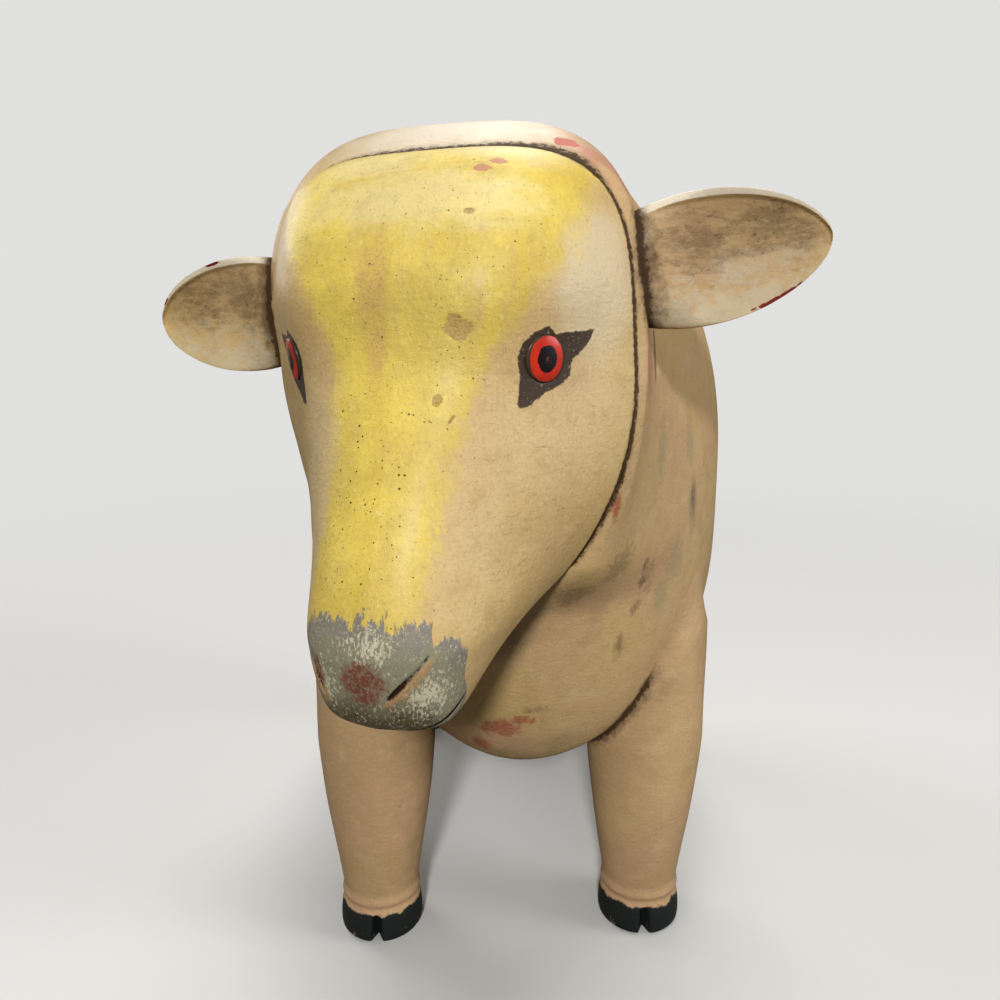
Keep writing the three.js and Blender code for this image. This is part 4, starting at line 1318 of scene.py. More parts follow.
@dataclass
class HeadBlock:
    """The head, glued to the neck on a flat seam, with carved nostrils and mouth."""

    paint: HeadPaint
    body: BodyBlock
    seam_gap: float = 0.5
    groove_depth: float = 2.4
    brow_reach: float = 26.5
    brow_roundness: float = 2.1
    brow_spots: int = 4
    face_spots: tuple = ((34.5, 20.0), (40.4, 36.0), (41.2, 45.0), (38.0, 54.4), (29.5, 57.0))
    brow_width: float = 45.0
    bridge_width: float = 23.0
    muzzle_width: float = 30.5
    muzzle_closing: tuple = (0.8, 3.2)
    brow_taper: tuple = (0.38, 0.6)
    muzzle_flare: tuple = (0.64, 0.78)
    cheek_edge: tuple = (1.3, 2.1, 0.4)
    corner_limit: float = 0.72
    flatness: float = 0.97
    left_eye: tuple = (0.485, 0.142)
    right_eye: tuple = (0.485, 0.868)
    eye_seat_radius: float = 3.9
    eye_seat_wall: tuple = (1.0, 0.3)
    eye_seat_depth: float = 0.9
    bend_reach: float = 0.035
    bend_lines: int = 9
    nostrils: tuple = (
        (Hand.LEFT, (11.4, -39.0, 106.0), (5.1, -40.7, 98.6)),
        (Hand.RIGHT, (-9.4, -37.4, 104.0), (-6.2, -38.8, 97.4)),
    )
    nostril_half_width: float = 0.8
    nostril_depth: float = 1.4
    nostril_end: float = 0.06
    lip_start: tuple = (0.0, 0.8)
    lip_run: tuple = (0.1, 1.9)
    lip_rise: float = 0.15
    mouth_front: float = 89.9
    mouth_slope: float = 0.92
    mouth_ends: tuple = (-33.5, -30.0)
    mouth_width: tuple = (0.2, 0.75)
    mouth_depth: float = 0.3
    rim_round: float = 0.6
    wobble: float = 0.36
    wobble_size: float = 19.0
    wobble_shift: float = 4.0
    wobble_start: tuple = (0.5, 8.0)
    level_lines: int = 300
    arc_lines: int = 150
    rim_lines: int = 9
    rim_share: float = 0.006
    rim_points: int = 800
    crown_dirt: float = 1.8
    blaze_edges: tuple = (
        (88.0, -11.0, 9.0), (110.1, -10.6, 9.5), (117.3, -11.0, 10.1), (127.3, -8.8, 10.5), (134.1, -9.0, 11.3),
        (140.1, -9.2, 13.0), (146.3, -9.6, 14.7), (151.5, -11.0, 16.6), (157.1, -14.0, 21.5), (164.3, -19.0, 25.6),
        (170.1, -23.0, 27.3), (178.0, -28.0, 29.0), (188.0, -30.0, 31.0),
    )
    nose_front: tuple = (-39.0, 110.6)
    nose_slope: tuple = (0.6, 0.14)
    gaps: tuple = (((12.2, -37.6, 109.0), (0.9, 2.0, 4.0)), ((15.8, -32.6, 102.0), (1.6, 1.6, 5.0)))
    flecks: tuple = (
        ((2.4, -41.0, 107.0), (5.5, 4.0, 4.0)), ((10.0, -38.0, 99.5), (6.0, 5.0, 5.0)),
        ((-6.0, -39.0, 100.0), (4.0, 4.0, 6.0)),
    )
    strings: tuple = (-7.4, -3.8, 0.9, 4.6)
    string_run: tuple = (111.0, 117.0, 138.0, 152.0)
    string_width: tuple = (0.5, 1.5)
    washes: tuple = (((31.0, -9.5, 163.0), (11.0, 16.0, 17.0)), ((-18.0, -17.5, 173.0), (9.0, 9.0, 9.0)))
    patch_outline: tuple = (
        (-5.2, -7.8), (-4.7, -2.8), (-5.2, 0.0), (-4.5, 2.4), (-2.3, 4.3), (0.2, 5.3), (1.7, 4.0), (4.0, 4.3),
        (10.3, 4.9), (8.7, 2.3), (5.6, -0.3), (5.3, -2.6), (3.7, -4.1), (0.0, -5.6), (-3.2, -7.7),
    )
    patch_reach: float = 16.0
    # The sheens mark where a highlight is painted on the brow.
    sheens: tuple = (((4.0, -19.0, 175.0), (32.0, 9.0, 9.0)), ((-8.0, -12.0, 182.0), (16.0, 9.0, 6.0)))
    nose_rubs: tuple = (((1.2, -41.3, 101.0), (5.4, 4.0, 5.4)), ((-7.6, -38.4, 101.0), (2.6, 3.0, 5.0)))
    rubs: tuple = (((-3.0, -24.6, 162.0), (4.4, 6.0, 13.0)), ((-2.0, -25.4, 150.0), (2.8, 4.0, 9.0)))
    chips: tuple = (
        ((11.2, -24.8, 154.4), (3.6, 3.0, 2.9)), ((8.6, -27.4, 143.2), (1.3, 2.0, 1.4)),
        ((12.0, -20.5, 172.5), (1.5, 2.0, 0.8)),
    )
    chip_edge: float = 0.3
    chip_wall: tuple = (-0.4, 1.2)
    chip_depth: float = 0.12
    flakes: tuple = (
        ((12.3, -15.1, 180.1), (2.6, 1.8, 1.8)), ((14.4, -13.2, 181.4), (3.0, 2.0, 1.6)),
    )
    scratches: tuple = (
        ((-15.9, -20.3, 169.6), (-13.4, -20.2, 172.2)), ((-3.2, -24.3, 167.2), (1.0, -23.6, 168.4)),
        ((-2.6, -34.8, 125.0), (6.8, -37.2, 115.4)), ((9.0, -28.3, 137.6), (11.6, -27.2, 141.0)),
    )
    scratch_width: tuple = (0.05, 0.5)
    scratch_depth: float = 0.08
    mesh: Mesh = field(init=False)

    @property
    def frame(self) -> Matrix:
        """Where the head's own frame stands in the animal's: x to its left, -y forward from the seam."""
        shift = Matrix.Translation((-self.body.head_shift, -self.body.seam_to_front_legs, 0))
        return shift @ Matrix.Rotation(-self.body.head_turn, 4, "Z")

    def profile(self, level: Array) -> tuple[Array, Array]:
        """The face's outline from the side.

        Args:
            level: 0 at the crown, 0.5 at the widest line, 1 at the chin.

        Returns:
            The reach forward from the seam, and the height.
        """
        widest, rise = self.body.head_widest, self.body.crown - self.body.head_widest
        angle = QUARTER_TURN * (1 - np.arange(self.brow_spots + 1) / self.brow_spots)
        reach = self.brow_reach * bulge(np.maximum(0, np.cos(angle)), self.brow_roundness)
        brow = np.stack([reach, widest + rise * bulge(np.sin(angle), self.brow_roundness)], axis=1)
        face = np.array([(reach, widest - drop) for reach, drop in self.face_spots])
        spots = np.concatenate([brow, face])
        brow_end = self.brow_spots / (len(spots) - 1)
        lower = brow_end + (level - 0.5) * 2 * (1 - brow_end)
        curve = spline(spots, np.where(level <= 0.5, level * 2 * brow_end, lower))
        return curve[:, 0], curve[:, 1]

    def skin(self, level: Array, around: Array) -> Array:
        """Points of the head's surface in its own frame.

        Args:
            level: 0 at the crown, 1 at the chin.
            around: 0 at the left edge of the seam, 0.5 on the nose, 1 at the right edge.

        Returns:
            One point for each pair.
        """
        edge_x, edge_z = self.body.section(np.zeros_like(level)).outline(level)
        reach, height = self.profile(level)
        side = np.where(around <= 0.5, 1.0, -1.0)
        u = np.where(around <= 0.5, around * 2, (1 - around) * 2)
        taper = lerp(self.brow_width, self.bridge_width, band(level, *self.brow_taper))
        half = lerp(taper, self.muzzle_width, band(level, *self.muzzle_flare)) / 2
        start, roundness = self.muzzle_closing
        closing = (1 - np.clip((level - start) / (1 - start), 0, 1) ** roundness) ** (1 / roundness)
        limit = np.where(level < 0.5, edge_x * lerp(self.corner_limit, 1.0, ease(level)), half)
        corner = np.minimum(half * closing, limit)
        crown, cheek, settled = self.cheek_edge
        weight = lerp(crown, cheek, ease(level / settled, 1.0))
        a, b, c = (1 - u) ** 2, 2 * weight * u * (1 - u), u**2
        x = (a * edge_x + b * corner) / (a + b + c)
        forward = (b * self.flatness + c) / (a + b + c)
        z = lerp(edge_z, height, forward)
        return np.stack([side * x + self.body.offset(z), -self.seam_gap - reach * forward, z], axis=1)

    def spot(self, level: float, around: float) -> tuple[Vector, Vector]:
        """A point of the head and the way out from it.

        Args:
            level: 0 at the crown, 1 at the chin.
            around: 0 at the left edge of the seam, 1 at the right.

        Returns:
            The point and the outward direction, in the head's own frame.
        """
        step = 0.01
        levels = np.array([level, level + step, level - step, level, level])
        arounds = np.array([around, around, around, around + step, around - step])
        here, low, high, later, sooner = (Vector(p) for p in self.skin(levels, arounds))
        return here, (later - sooner).cross(low - high).normalized()

    def bend(self, place: tuple[float, float], level: Vector) -> Array:
        """How the head curves round a spot.

        Args:
            place: the spot's level and way round.
            level: a direction along the surface there.

        Returns:
            The surface's height above its flat, as shares of the squares and of the product of the way along
            that direction and across it.
        """
        centre, outward = self.spot(*place)
        steps = np.linspace(-self.bend_reach, self.bend_reach, self.bend_lines)
        downs, rounds = np.meshgrid(place[0] + steps, place[1] + steps)
        arm = self.skin(downs.ravel(), rounds.ravel()) - np.array(centre)
        along, across = arm @ np.array(level), arm @ np.array(level.cross(outward))
        terms = np.stack([along**2, along * across, across**2, along, across], axis=1)
        return np.linalg.lstsq(terms, arm @ np.array(outward), rcond=None)[0][:3]

    def build(self) -> None:
        """Models the block and notes where its paints and marks lie."""
        half = np.concatenate([
            np.linspace(0, self.rim_share, self.rim_lines)[:-1],
            np.linspace(self.rim_share, 0.5, self.arc_lines),
        ])
        columns = np.concatenate([half, 1 - half[-2::-1]])
        mesh, around, level = grid(columns, np.linspace(0, 1, self.level_lines + 1))
        move_to(mesh, self.skin(level, around))
        close_up(mesh)
        points = points_of(mesh)
        self._mark(mesh, points)
        on_flat = points[:, 1] > -self.seam_gap - MERGE_GAP
        carve(mesh, self._relief(mesh, points), on_flat, Vector((0, 1, 0)))
        self._fill_seam(mesh)
        mesh.transform(self.frame)
        self.mesh = mesh

    def _fill_seam(self, mesh: Mesh) -> None:
        """Brings the flat back up to the neck, apart from a groove round its edge.

        Args:
            mesh: the head's mesh in its own frame.
        """
        flat = max(mesh.faces, key=lambda face: len(face.verts))
        bmesh.ops.inset_region(mesh, faces=[flat], thickness=self.groove_depth, use_even_offset=True)
        bmesh.ops.translate(mesh, verts=flat.verts, vec=(0, self.seam_gap - MERGE_GAP, 0))

    def _nostrils(self, points: Array) -> tuple[Array, Array]:
        """The nostrils as carved.

        Args:
            points: the head's points in its own frame.

        Returns:
            How deep each point lies in a slit, and how near it is to a slit's rubbed lip, from 0 to 1.
        """
        slit, lip = np.zeros(len(points)), np.zeros(len(points))
        for hand, top, foot in self.nostrils:
            away, share = line_distance(points, top, foot)
            width = self.nostril_half_width * np.sqrt(np.maximum(self.nostril_end, 4 * share * (1 - share)))
            slit = np.maximum(slit, 1 - np.minimum(away / width, 1) ** 2)
            lower = (points - (np.array(top) + np.array(foot)) / 2) @ np.array([hand.value, 0, -1.0])
            lip = np.maximum(lip, band(lower, *self.lip_start) * (1 - band(away - width, *self.lip_run)))
        return slit, lip

    def _mark(self, mesh: Mesh, points: Array) -> None:
        """Stores where the paints, the wear and the carving lie.

        Args:
            mesh: the head's mesh.
            points: its points in the head's own frame.
        """
        x, y, z = points.T
        heights, right, left = np.array(self.blaze_edges).T
        store(mesh, "blaze", np.minimum(x - np.interp(z, heights, right), np.interp(z, heights, left) - x))
        front, top = self.nose_front
        slope, bend = self.nose_slope
        behind = np.maximum(0, y - front)
        store(mesh, "nose", top - z - slope * behind - bend * behind**2)
        store_blots(mesh, points, {
            "gap": (self.gaps, 1.0), "fleck": (self.flecks, 1.0), "pale": (self.washes, 1.6),
            "nose_rub": (self.nose_rubs, 1.6), "sheen": (self.sheens, 1.6), "rub": (self.rubs, 1.5),
        })
        low, full, fading, high = self.string_run
        strung = np.min([np.abs(x - place) for place in self.strings], axis=0)
        run = band(z, low, full) * (1 - band(z, fading, high))
        store(mesh, "string", (1 - band(strung, *self.string_width)) * run)
        slit, lip = self._nostrils(points)
        store(mesh, "slit", slit)
        store(mesh, "lip", lip)
        from_mouth = np.abs(z - self.mouth_front - self.mouth_slope * (y - self.nose_front[0]))
        store(mesh, "mouth", (1 - band(from_mouth, *self.mouth_width)) * (1 - band(y, *self.mouth_ends)))
        patch = np.full(len(points), -FAR)
        for hand, place in ((Hand.LEFT, self.left_eye), (Hand.RIGHT, self.right_eye)):
            centre, outward = self.spot(*place)
            back = Vector((-outward.y, outward.x, 0)).normalized() * hand.value
            arm = points - np.array(centre)
            flat = np.stack([arm @ np.array(back), arm @ np.array(outward.cross(back) * hand.value)], axis=1)
            near = np.linalg.norm(arm, axis=1) < self.patch_reach
            patch[near] = np.maximum(patch[near], inside_depth(flat[near], self.patch_outline))
        store(mesh, "patch", patch)
        store(mesh, "chip", flaked(points, self.chips, self.chip_edge))
        store(mesh, "flake", flaked(points, self.flakes))
        scratch = np.full(len(points), FAR)
        for start, end in self.scratches:
            scratch = np.minimum(scratch, line_distance(points, start, end)[0])
        store(mesh, "scratch", 1 - band(scratch, *self.scratch_width))
        crowned = 1 + self.crown_dirt * band(z, *self.body.crown_run)
        store(mesh, "seam", rim_distance(points, self._rim()) / crowned)

    def _rim(self) -> Array:
        """The edge of the head's flat, in its own frame.

        Returns:
            Close points along it, one row each.
        """
        shares = np.linspace(0, 1, self.rim_points)
        across, height = self.body.section(np.zeros_like(shares)).outline(shares)
        y = np.full_like(shares, -self.seam_gap)
        halves = [np.stack([hand.value * across + self.body.offset(height), y, height], axis=1) for hand in Hand]
        return np.concatenate(halves)

    def _relief(self, mesh: Mesh, points: Array) -> Array:
        """How far the carving raises or lowers each point.

        Args:
            mesh: the head's mesh, with its marks.
            points: its points in the head's own frame.

        Returns:
            The height in millimetres.
        """
        from_seam = -points[:, 1] - self.seam_gap
        rise = rounding(from_seam, self.rim_round)
        carved = hollows(points, self.wobble, self.wobble_size, self.wobble_shift)
        rise += carved * band(from_seam, *self.wobble_start)
        foot, edge = (self.eye_seat_radius - inset for inset in self.eye_seat_wall)
        for place in (self.left_eye, self.right_eye):
            centre, _ = self.spot(*place)
            away = np.linalg.norm(points - np.array(centre), axis=1)
            rise -= self.eye_seat_depth * (1 - band(away, foot, edge))
        rise -= self.nostril_depth * stored(mesh, "slit")
        rise += self.lip_rise * stored(mesh, "lip") * (1 - stored(mesh, "slit"))
        rise -= self.mouth_depth * stored(mesh, "mouth")
        rise -= self.chip_depth * band(stored(mesh, "chip"), *self.chip_wall)
        rise -= self.scratch_depth * stored(mesh, "scratch")
        return rise


@dataclass
class Leg:
    """A leg with its cloven hoof, let into the body at the top."""

    end: str
    hand: Hand
    foot: tuple[float, float]
    swell: float
    hoof_radius: float = 10.8
    sole_shares: tuple = (0.0, 0.3, 0.6)
    hoof_wall: tuple = (
        (1.6, 0.0), (1.05, 0.12), (0.55, 0.45), (0.2, 1.0), (0.04, 1.8), (0.0, 2.8), (0.02, 4.0), (0.1, 5.2),
    )
    coronet: tuple = (
        (0.25, 6.4), (0.42, 7.4), (0.68, 8.2), (0.98, 8.8), (1.05, 9.3),
        (0.9, 9.8), (0.58, 10.3), (0.5, 10.8), (0.6, 11.4), (0.8, 12.2),
    )
    ankle: float = 13.0
    ankle_radius: float = 9.9
    top_radius: float = 15.25
    full: float = 54.0
    shoulder: float = 82.0
    shoulder_dome: float = 46.0
    shoulder_lean: float = 10.0
    fillet: float = 4.0
    fillet_run: tuple = (66.0, 84.0)
    cleft_half_width: float = 1.6
    cleft_depth: float = 3.4
    cleft_top: float = 8.2
    cleft_fade: float = 2.2
    cleft_run: tuple = (4.0, 8.0)
    seat_depth: float = 1.0
    wobble: float = 0.25
    wobble_size: float = 15.0
    wobble_start: tuple = (12.0, 24.0)
    clean_shoulder: tuple = (70.0, 88.0)
    flats: int = 132
    shank_lines: int = 64
    column_lines: int = 20
    dome_lines: int = 26
    mesh: Mesh = field(init=False)

    @property
    def name(self) -> str:
        """The leg's name, as its solid has it."""
        return f"{self.end}_{self.hand.name.lower()}_leg"

    def _profile(self) -> Array:
        """The leg's outline. Its hoof wall and coronet are given as the way in from the hoof's radius, and height.

        Returns:
            The radius and height of each point, from the sole to the top.
        """
        sole = [(self.hoof_radius * share, 0) for share in self.sole_shares]
        wall = [(self.hoof_radius - inset, height) for inset, height in self.hoof_wall + self.coronet]
        share = np.linspace(0, 1, self.shank_lines)
        top = self.top_radius * self.swell
        swelling = (share + np.sin(QUARTER_TURN * share)) / 2
        shank = np.stack([lerp(self.ankle_radius, top, swelling), lerp(self.ankle, self.full, share)], axis=1)
        angle = np.linspace(0, QUARTER_TURN, self.dome_lines)
        dome = np.stack([top * np.cos(angle), self.shoulder + self.shoulder_dome * np.sin(angle)], axis=1)
        straight = np.linspace(self.full, self.shoulder, self.column_lines)[1:-1]
        column = np.stack([np.full_like(straight, top), straight], axis=1)
        return np.concatenate([sole, wall, shank, column, dome])

    def build(self, tree: BVHTree) -> None:
        """Models the leg and seats it on the body.

        Args:
            tree: the body's search tree.
        """
        mesh = turned(self._profile(), self.flats)
        points = points_of(mesh)
        x, y, z = points.T
        up = np.clip((z - self.shoulder) / self.shoulder_dome, 0, 1)
        lean = self.shoulder_lean * (1 - np.sqrt(1 - up**2))
        notch = self.cleft_depth * np.clip(1 - np.abs(x) / self.cleft_half_width, 0, 1)
        below = 1 - band(z, self.cleft_top - self.cleft_fade, self.cleft_top)
        notch *= (y < 0) * band(-y, *self.cleft_run) * below
        move_to(mesh, np.stack([x - self.hand.value * lean, y + notch, z], axis=1))
        shift = 3.0 * self.hand.value + self.swell
        carve(mesh, hollows(points, self.wobble, self.wobble_size, shift) * band(z, *self.wobble_start))
        bmesh.ops.translate(mesh, verts=mesh.verts, vec=(*self.foot, 0))
        self._run_in(mesh, tree)
        seat_against(mesh, tree, self.seat_depth)
        points = points_of(mesh)
        clean = band(points[:, 2], *self.clean_shoulder)
        store(mesh, "crease", nearness(points, [tree], DIRT_AND_SHADE_REACH) + CLEAN_GAP * clean)
        self.mesh = mesh

    def _run_in(self, mesh: Mesh, tree: BVHTree) -> None:
        """Rounds the shoulder's edge into the flank.

        Args:
            mesh: the leg's mesh in place.
            tree: the body's search tree.
        """
        for vert in mesh.verts:
            place, normal, _, away = tree.find_nearest(vert.co)
            if away < self.fillet and (vert.co - place).dot(normal) > 0:
                drawn = normal * (away - away**2 / self.fillet)
                vert.co -= drawn * float(band(vert.co.z, *self.fillet_run))


@dataclass
class Ear:
    """A cupped leaf of an ear, plugged into the neck behind the head."""

    hand: Hand
    height: float
    lift: float
    head: HeadBlock
    length: float = 33.0
    width: float = 23.8
    camber: float = 0.8
    thickness: float = 3.0
    tip_thickness: float = 1.0
    root_thickness: float = 8.5
    cup_depth: float = 4.5
    widest_at: float = 9.0
    root_narrowing: float = 0.12
    point: float = 0.57
    thinned_at: float = 16.0
    root_run: float = 7.0
    edge_roundness: float = 3.0
    rim_width: float = 1.9
    rim_taper: float = 0.6
    rim_step: float = 0.6
    rim_edge: tuple = (-0.2, 0.4)
    step_run: float = 0.7
    step_start: tuple = (1.0, 7.0)
    step_side: tuple = (-0.7, 0.1)
    tip_edge: float = 2.5
    upper_half: tuple = (-4.0, 2.0)
    cup_run: float = 0.9
    behind_seam: float = 6.2
    sweep: float = math.radians(2)
    seat_depth: float = 1.0
    rim_wave: float = 0.35
    wave_size: float = 7.0
    blade_lines: int = 96
    root_lines: int = 10
    round_lines: int = 180
    soils: tuple = (((11.0, 0.0, 2.5), (13.0, 12.0, 8.5)), ((24.0, 0.0, 4.5), (12.0, 12.0, 9.0)))
    chips: tuple = ()
    chip_strength: float = 1.8
    chip_run: tuple = (0.5, 1.3)
    mesh: Mesh = field(init=False)

    @property
    def name(self) -> str:
        """The ear's name, as its solid has it."""
        return f"{self.hand.name.lower()}_ear"

    @property
    def place(self) -> Matrix:
        """Where the ear stands.

        Returns:
            The ear's own frame in the animal's.
        """
        body, side = self.head.body, self.hand.value
        seat = Matrix.Translation((side * body.head_width / 2, self.behind_seam, body.head_widest + self.height))
        turn = Matrix.Rotation(-side * self.lift, 4, "Y") @ Matrix.Rotation(side * self.sweep, 4, "Z")
        return self.head.frame @ seat @ turn

    def half_width(self, out: Array) -> Array:
        """Half the blade's width.

        Args:
            out: distances out from the root.

        Returns:
            The half width at each distance.
        """
        inside = np.clip((self.widest_at - out) / self.widest_at, 0, 1)
        beyond = np.clip((out - self.widest_at) / (self.length - self.widest_at), 0, 1)
        return self.width / 2 * (1 - self.root_narrowing * inside**2) * (1 - beyond**2) ** self.point

    def rim(self, out: Array) -> Array:
        """The rim's width at distances out from the root."""
        return self.rim_width * (1 - self.rim_taper * np.clip(out / self.length, 0, 1))

    def from_edge(self, angle: Array, out: Array) -> Array:
        """How far points lie in from the blade's edge."""
        return np.minimum((1 - np.abs(np.cos(angle))) * self.half_width(out), self.tip_edge * (self.length - out))

    def shape(self, angle: Array, out: Array) -> Array:
        """Points of the ear's surface in its own frame.

        Args:
            angle: the way round the blade, from its upper edge over the back.
            out: the distance out from the root.

        Returns:
            One point for each pair.
        """
        half = self.half_width(out)
        thinned = ease(out / self.thinned_at)
        taper = 2 * half / self.width
        hollow = self.cup_depth * thinned * taper
        thickness = lerp(self.tip_thickness, lerp(self.root_thickness, self.thickness, thinned), np.sqrt(taper))
        across = np.cos(angle)
        y = hollow * (0.5 - across**2) + thickness / 2 * bulge(np.sin(angle), self.edge_roundness)
        inner = self.from_edge(angle, out)
        rim = self.rim(out)
        step = self.rim_step * band(inner, rim, rim + self.step_run) * band(out, *self.step_start)
        y += step * band(across, *self.step_side) * (np.sin(angle) < 0)
        rise = self.camber * (np.maximum(0, out) / self.length) ** 2
        return np.stack([self.hand.value * out, y, half * across + rise], axis=1)

    def build(self, tree: BVHTree) -> None:
        """Models the ear, notes its marks and seats it on the neck.

        Args:
            tree: the body's search tree.
        """
        blade = self.length * np.sin(np.linspace(0, QUARTER_TURN, self.blade_lines))
        rows = np.concatenate([np.linspace(-self.root_run, 0, self.root_lines)[:-1], blade])
        mesh, angle, out = grid(np.linspace(0, 2 * HALF_TURN, self.round_lines + 1), rows)
        points = self.shape(angle, out)
        move_to(mesh, points)
        inner = self.from_edge(angle, out)
        rim = self.rim(out)
        upper = band(points[:, 2], *self.upper_half)
        bare = lerp(0.0, rim, upper)
        store(mesh, "cup", band(inner, bare, bare + self.cup_run) * (np.sin(angle) < 0))
        store(mesh, "upper", points[:, 2] / self.width)
        store(mesh, "soil", blots(points * [self.hand.value, 1, 1], self.soils))
        # The rim's pale paint and painted highlight lie on the upper half only.
        store(mesh, "rim", (1 - band(inner - rim, *self.rim_edge)) * upper)
        chipped = self.chip_strength * blots(points, self.chips)
        store(mesh, "rim_chip", chipped * (1 - band(inner, *self.chip_run)))
        close_up(mesh)
        carve(mesh, hollows(points_of(mesh), self.rim_wave, self.wave_size, 2.0 * self.hand.value))
        mesh.transform(self.place)
        seat_against(mesh, tree, self.seat_depth)
        store(mesh, "crease", nearness(points_of(mesh), [tree], DIRT_AND_SHADE_REACH))
        self.mesh = mesh


@dataclass
class Eye:
    """A domed eye in its round seat."""

    hand: Hand
    head: HeadBlock
    radius: float = 3.8
    dome: float = 0.6
    squeeze: float = 0.87
    seat_depth: float = 1.2
    spigot_radius: float = 1.5
    spigot_length: float = 6.0
    rings: int = 22
    flats: int = 72
    mesh: Mesh = field(init=False)

    @property
    def name(self) -> str:
        """The eye's name, as its solid has it."""
        return f"{self.hand.name.lower()}_eye"

    def build(self) -> None:
        """Models the eye and sets it into the head."""
        angle = np.linspace(0, QUARTER_TURN, self.rings)
        dome = np.stack([self.radius * np.cos(angle), self.seat_depth + self.dome * np.sin(angle)], axis=1)
        shaft, foot = self.spigot_radius, -self.spigot_length
        spigot = [(0, foot), (shaft, foot), (shaft, 0), (self.radius, 0)]
        mesh = turned(np.concatenate([spigot, dome]), self.flats)
        place = self.head.left_eye if self.hand is Hand.LEFT else self.head.right_eye
        centre, outward = self.head.spot(*place)
        turn = Vector((0, 0, 1)).rotation_difference(outward).to_matrix().to_4x4()
        mesh.transform(Matrix.Translation(centre - outward * self.seat_depth) @ turn)
        level = outward.cross(Vector((0, 0, 1))).normalized()
        points = points_of(mesh)
        arm = points - np.array(centre)
        sideways, upward = arm @ np.array(level), arm @ np.array(level.cross(outward))
        store(mesh, "ring", np.hypot(sideways / self.squeeze, upward))
        bend = self.head.bend(place, level)
        curve = bend[0] * sideways**2 + bend[1] * sideways * upward + bend[2] * upward**2
        shown = band(arm @ np.array(outward), -self.seat_depth, -0.5 * self.seat_depth)
        move_to(mesh, points + np.outer(curve * shown, np.array(outward)))
        mesh.transform(self.head.frame)
        self.mesh = mesh


@dataclass
class Tail:
    """The tail, hung from the rump and lying against it."""

    body: BodyBlock
    length: float = 58.0
    radius: float = 6.0
    root_radius: float = 5.0
    tip_radius: float = 2.5
    tip_length: float = 17.0
    set_off: float = 6.5
    lean_in: float = 1.9
    above_widest: float = 46.0
    seat_depth: float = 0.8
    hang_shares: tuple = (0.5, 0.75, 1.0)
    tip_round: float = 0.95
    lock_depth: float = 0.5
    lock_run: tuple = (-0.9, 0.2)
    lock_twist: float = 5.0
    lock_edge: float = 0.7
    locks: int = 7
    lines: int = 90
    round_lines: int = 72
    mesh: Mesh = field(init=False)

    def _path(self) -> Array:
        """The line of the tail's middle.

        Returns:
            The spots that it passes through, from the rump to the tip.
        """
        body, step = self.body, 0.01
        rise = body.back - body.widest
        rump_y = body.neck_length + body.barrel_length - body.seam_to_front_legs
        angle = math.asin((self.above_widest / rise) ** (body.rump_roundness / 2))
        angles = np.array([angle - step, angle, angle + step])
        y = rump_y + body.rump_length * bulge(np.cos(angles), body.rump_roundness)
        z = body.widest + rise * bulge(np.sin(angles), body.rump_roundness)
        seat = np.array([0, y[1], z[1]])
        slope = np.array([0, z[2] - z[0], y[0] - y[2]])
        outward = slope / np.linalg.norm(slope)
        bend = seat + outward * self.set_off - np.array([0, 0, self.set_off])
        hang_y = rump_y + body.rump_length + self.radius - self.lean_in
        hang = [np.array([0, hang_y, seat[2] - self.length * share]) for share in self.hang_shares]
        return np.array([seat, bend, *hang])

    def build(self, tree: BVHTree) -> None:
        """Models the tail and lays it on the rump.

        Args:
            tree: the body's search tree.
        """
        rows = np.sin(np.linspace(0, QUARTER_TURN, self.lines))
        mesh, angle, along = grid(np.linspace(0, 2 * HALF_TURN, self.round_lines + 1), rows)
        path, step = self._path(), 0.005
        centre = spline(path, along)
        heading = spline(path, along + step) - spline(path, along - step)
        heading /= np.linalg.norm(heading, axis=1)[:, None]
        out = np.stack([np.zeros_like(along), heading[:, 2], -heading[:, 1]], axis=1)
        to_tip = (along - 1) * self.length / self.tip_length + 1
        swell = lerp(self.root_radius, self.radius, np.sin(HALF_TURN * along))
        radius = lerp(swell, self.tip_radius, ease(to_tip))
        closing = np.clip((along - self.tip_round) / (1 - self.tip_round), 0, 1)
        radius *= np.sqrt(np.maximum(0, 1 - closing**2))
        locks = np.abs(np.sin(self.locks * angle + self.lock_twist * along)) ** self.lock_edge
        radius = np.maximum(0, radius - self.lock_depth * band(to_tip, *self.lock_run) * locks)
        side = np.array([1.0, 0, 0])
        ring = out * np.sin(angle)[:, None] + side * np.cos(angle)[:, None]
        move_to(mesh, centre + ring * radius[:, None])
        close_up(mesh)
        seat_against(mesh, tree, self.seat_depth)
        points = points_of(mesh)
        store(mesh, "crease", nearness(points, [tree], DIRT_AND_SHADE_REACH))
        for unmarked in ("red_scuff", "dark_scuff", "soil", "wipe", "rose", "pale", "fold", "throat"):
            store(mesh, unmarked, np.zeros(len(points)))
        store(mesh, "flake", np.full(len(points), -FAR))
        store(mesh, "seam", np.full(len(points), FAR))
        self.mesh = mesh


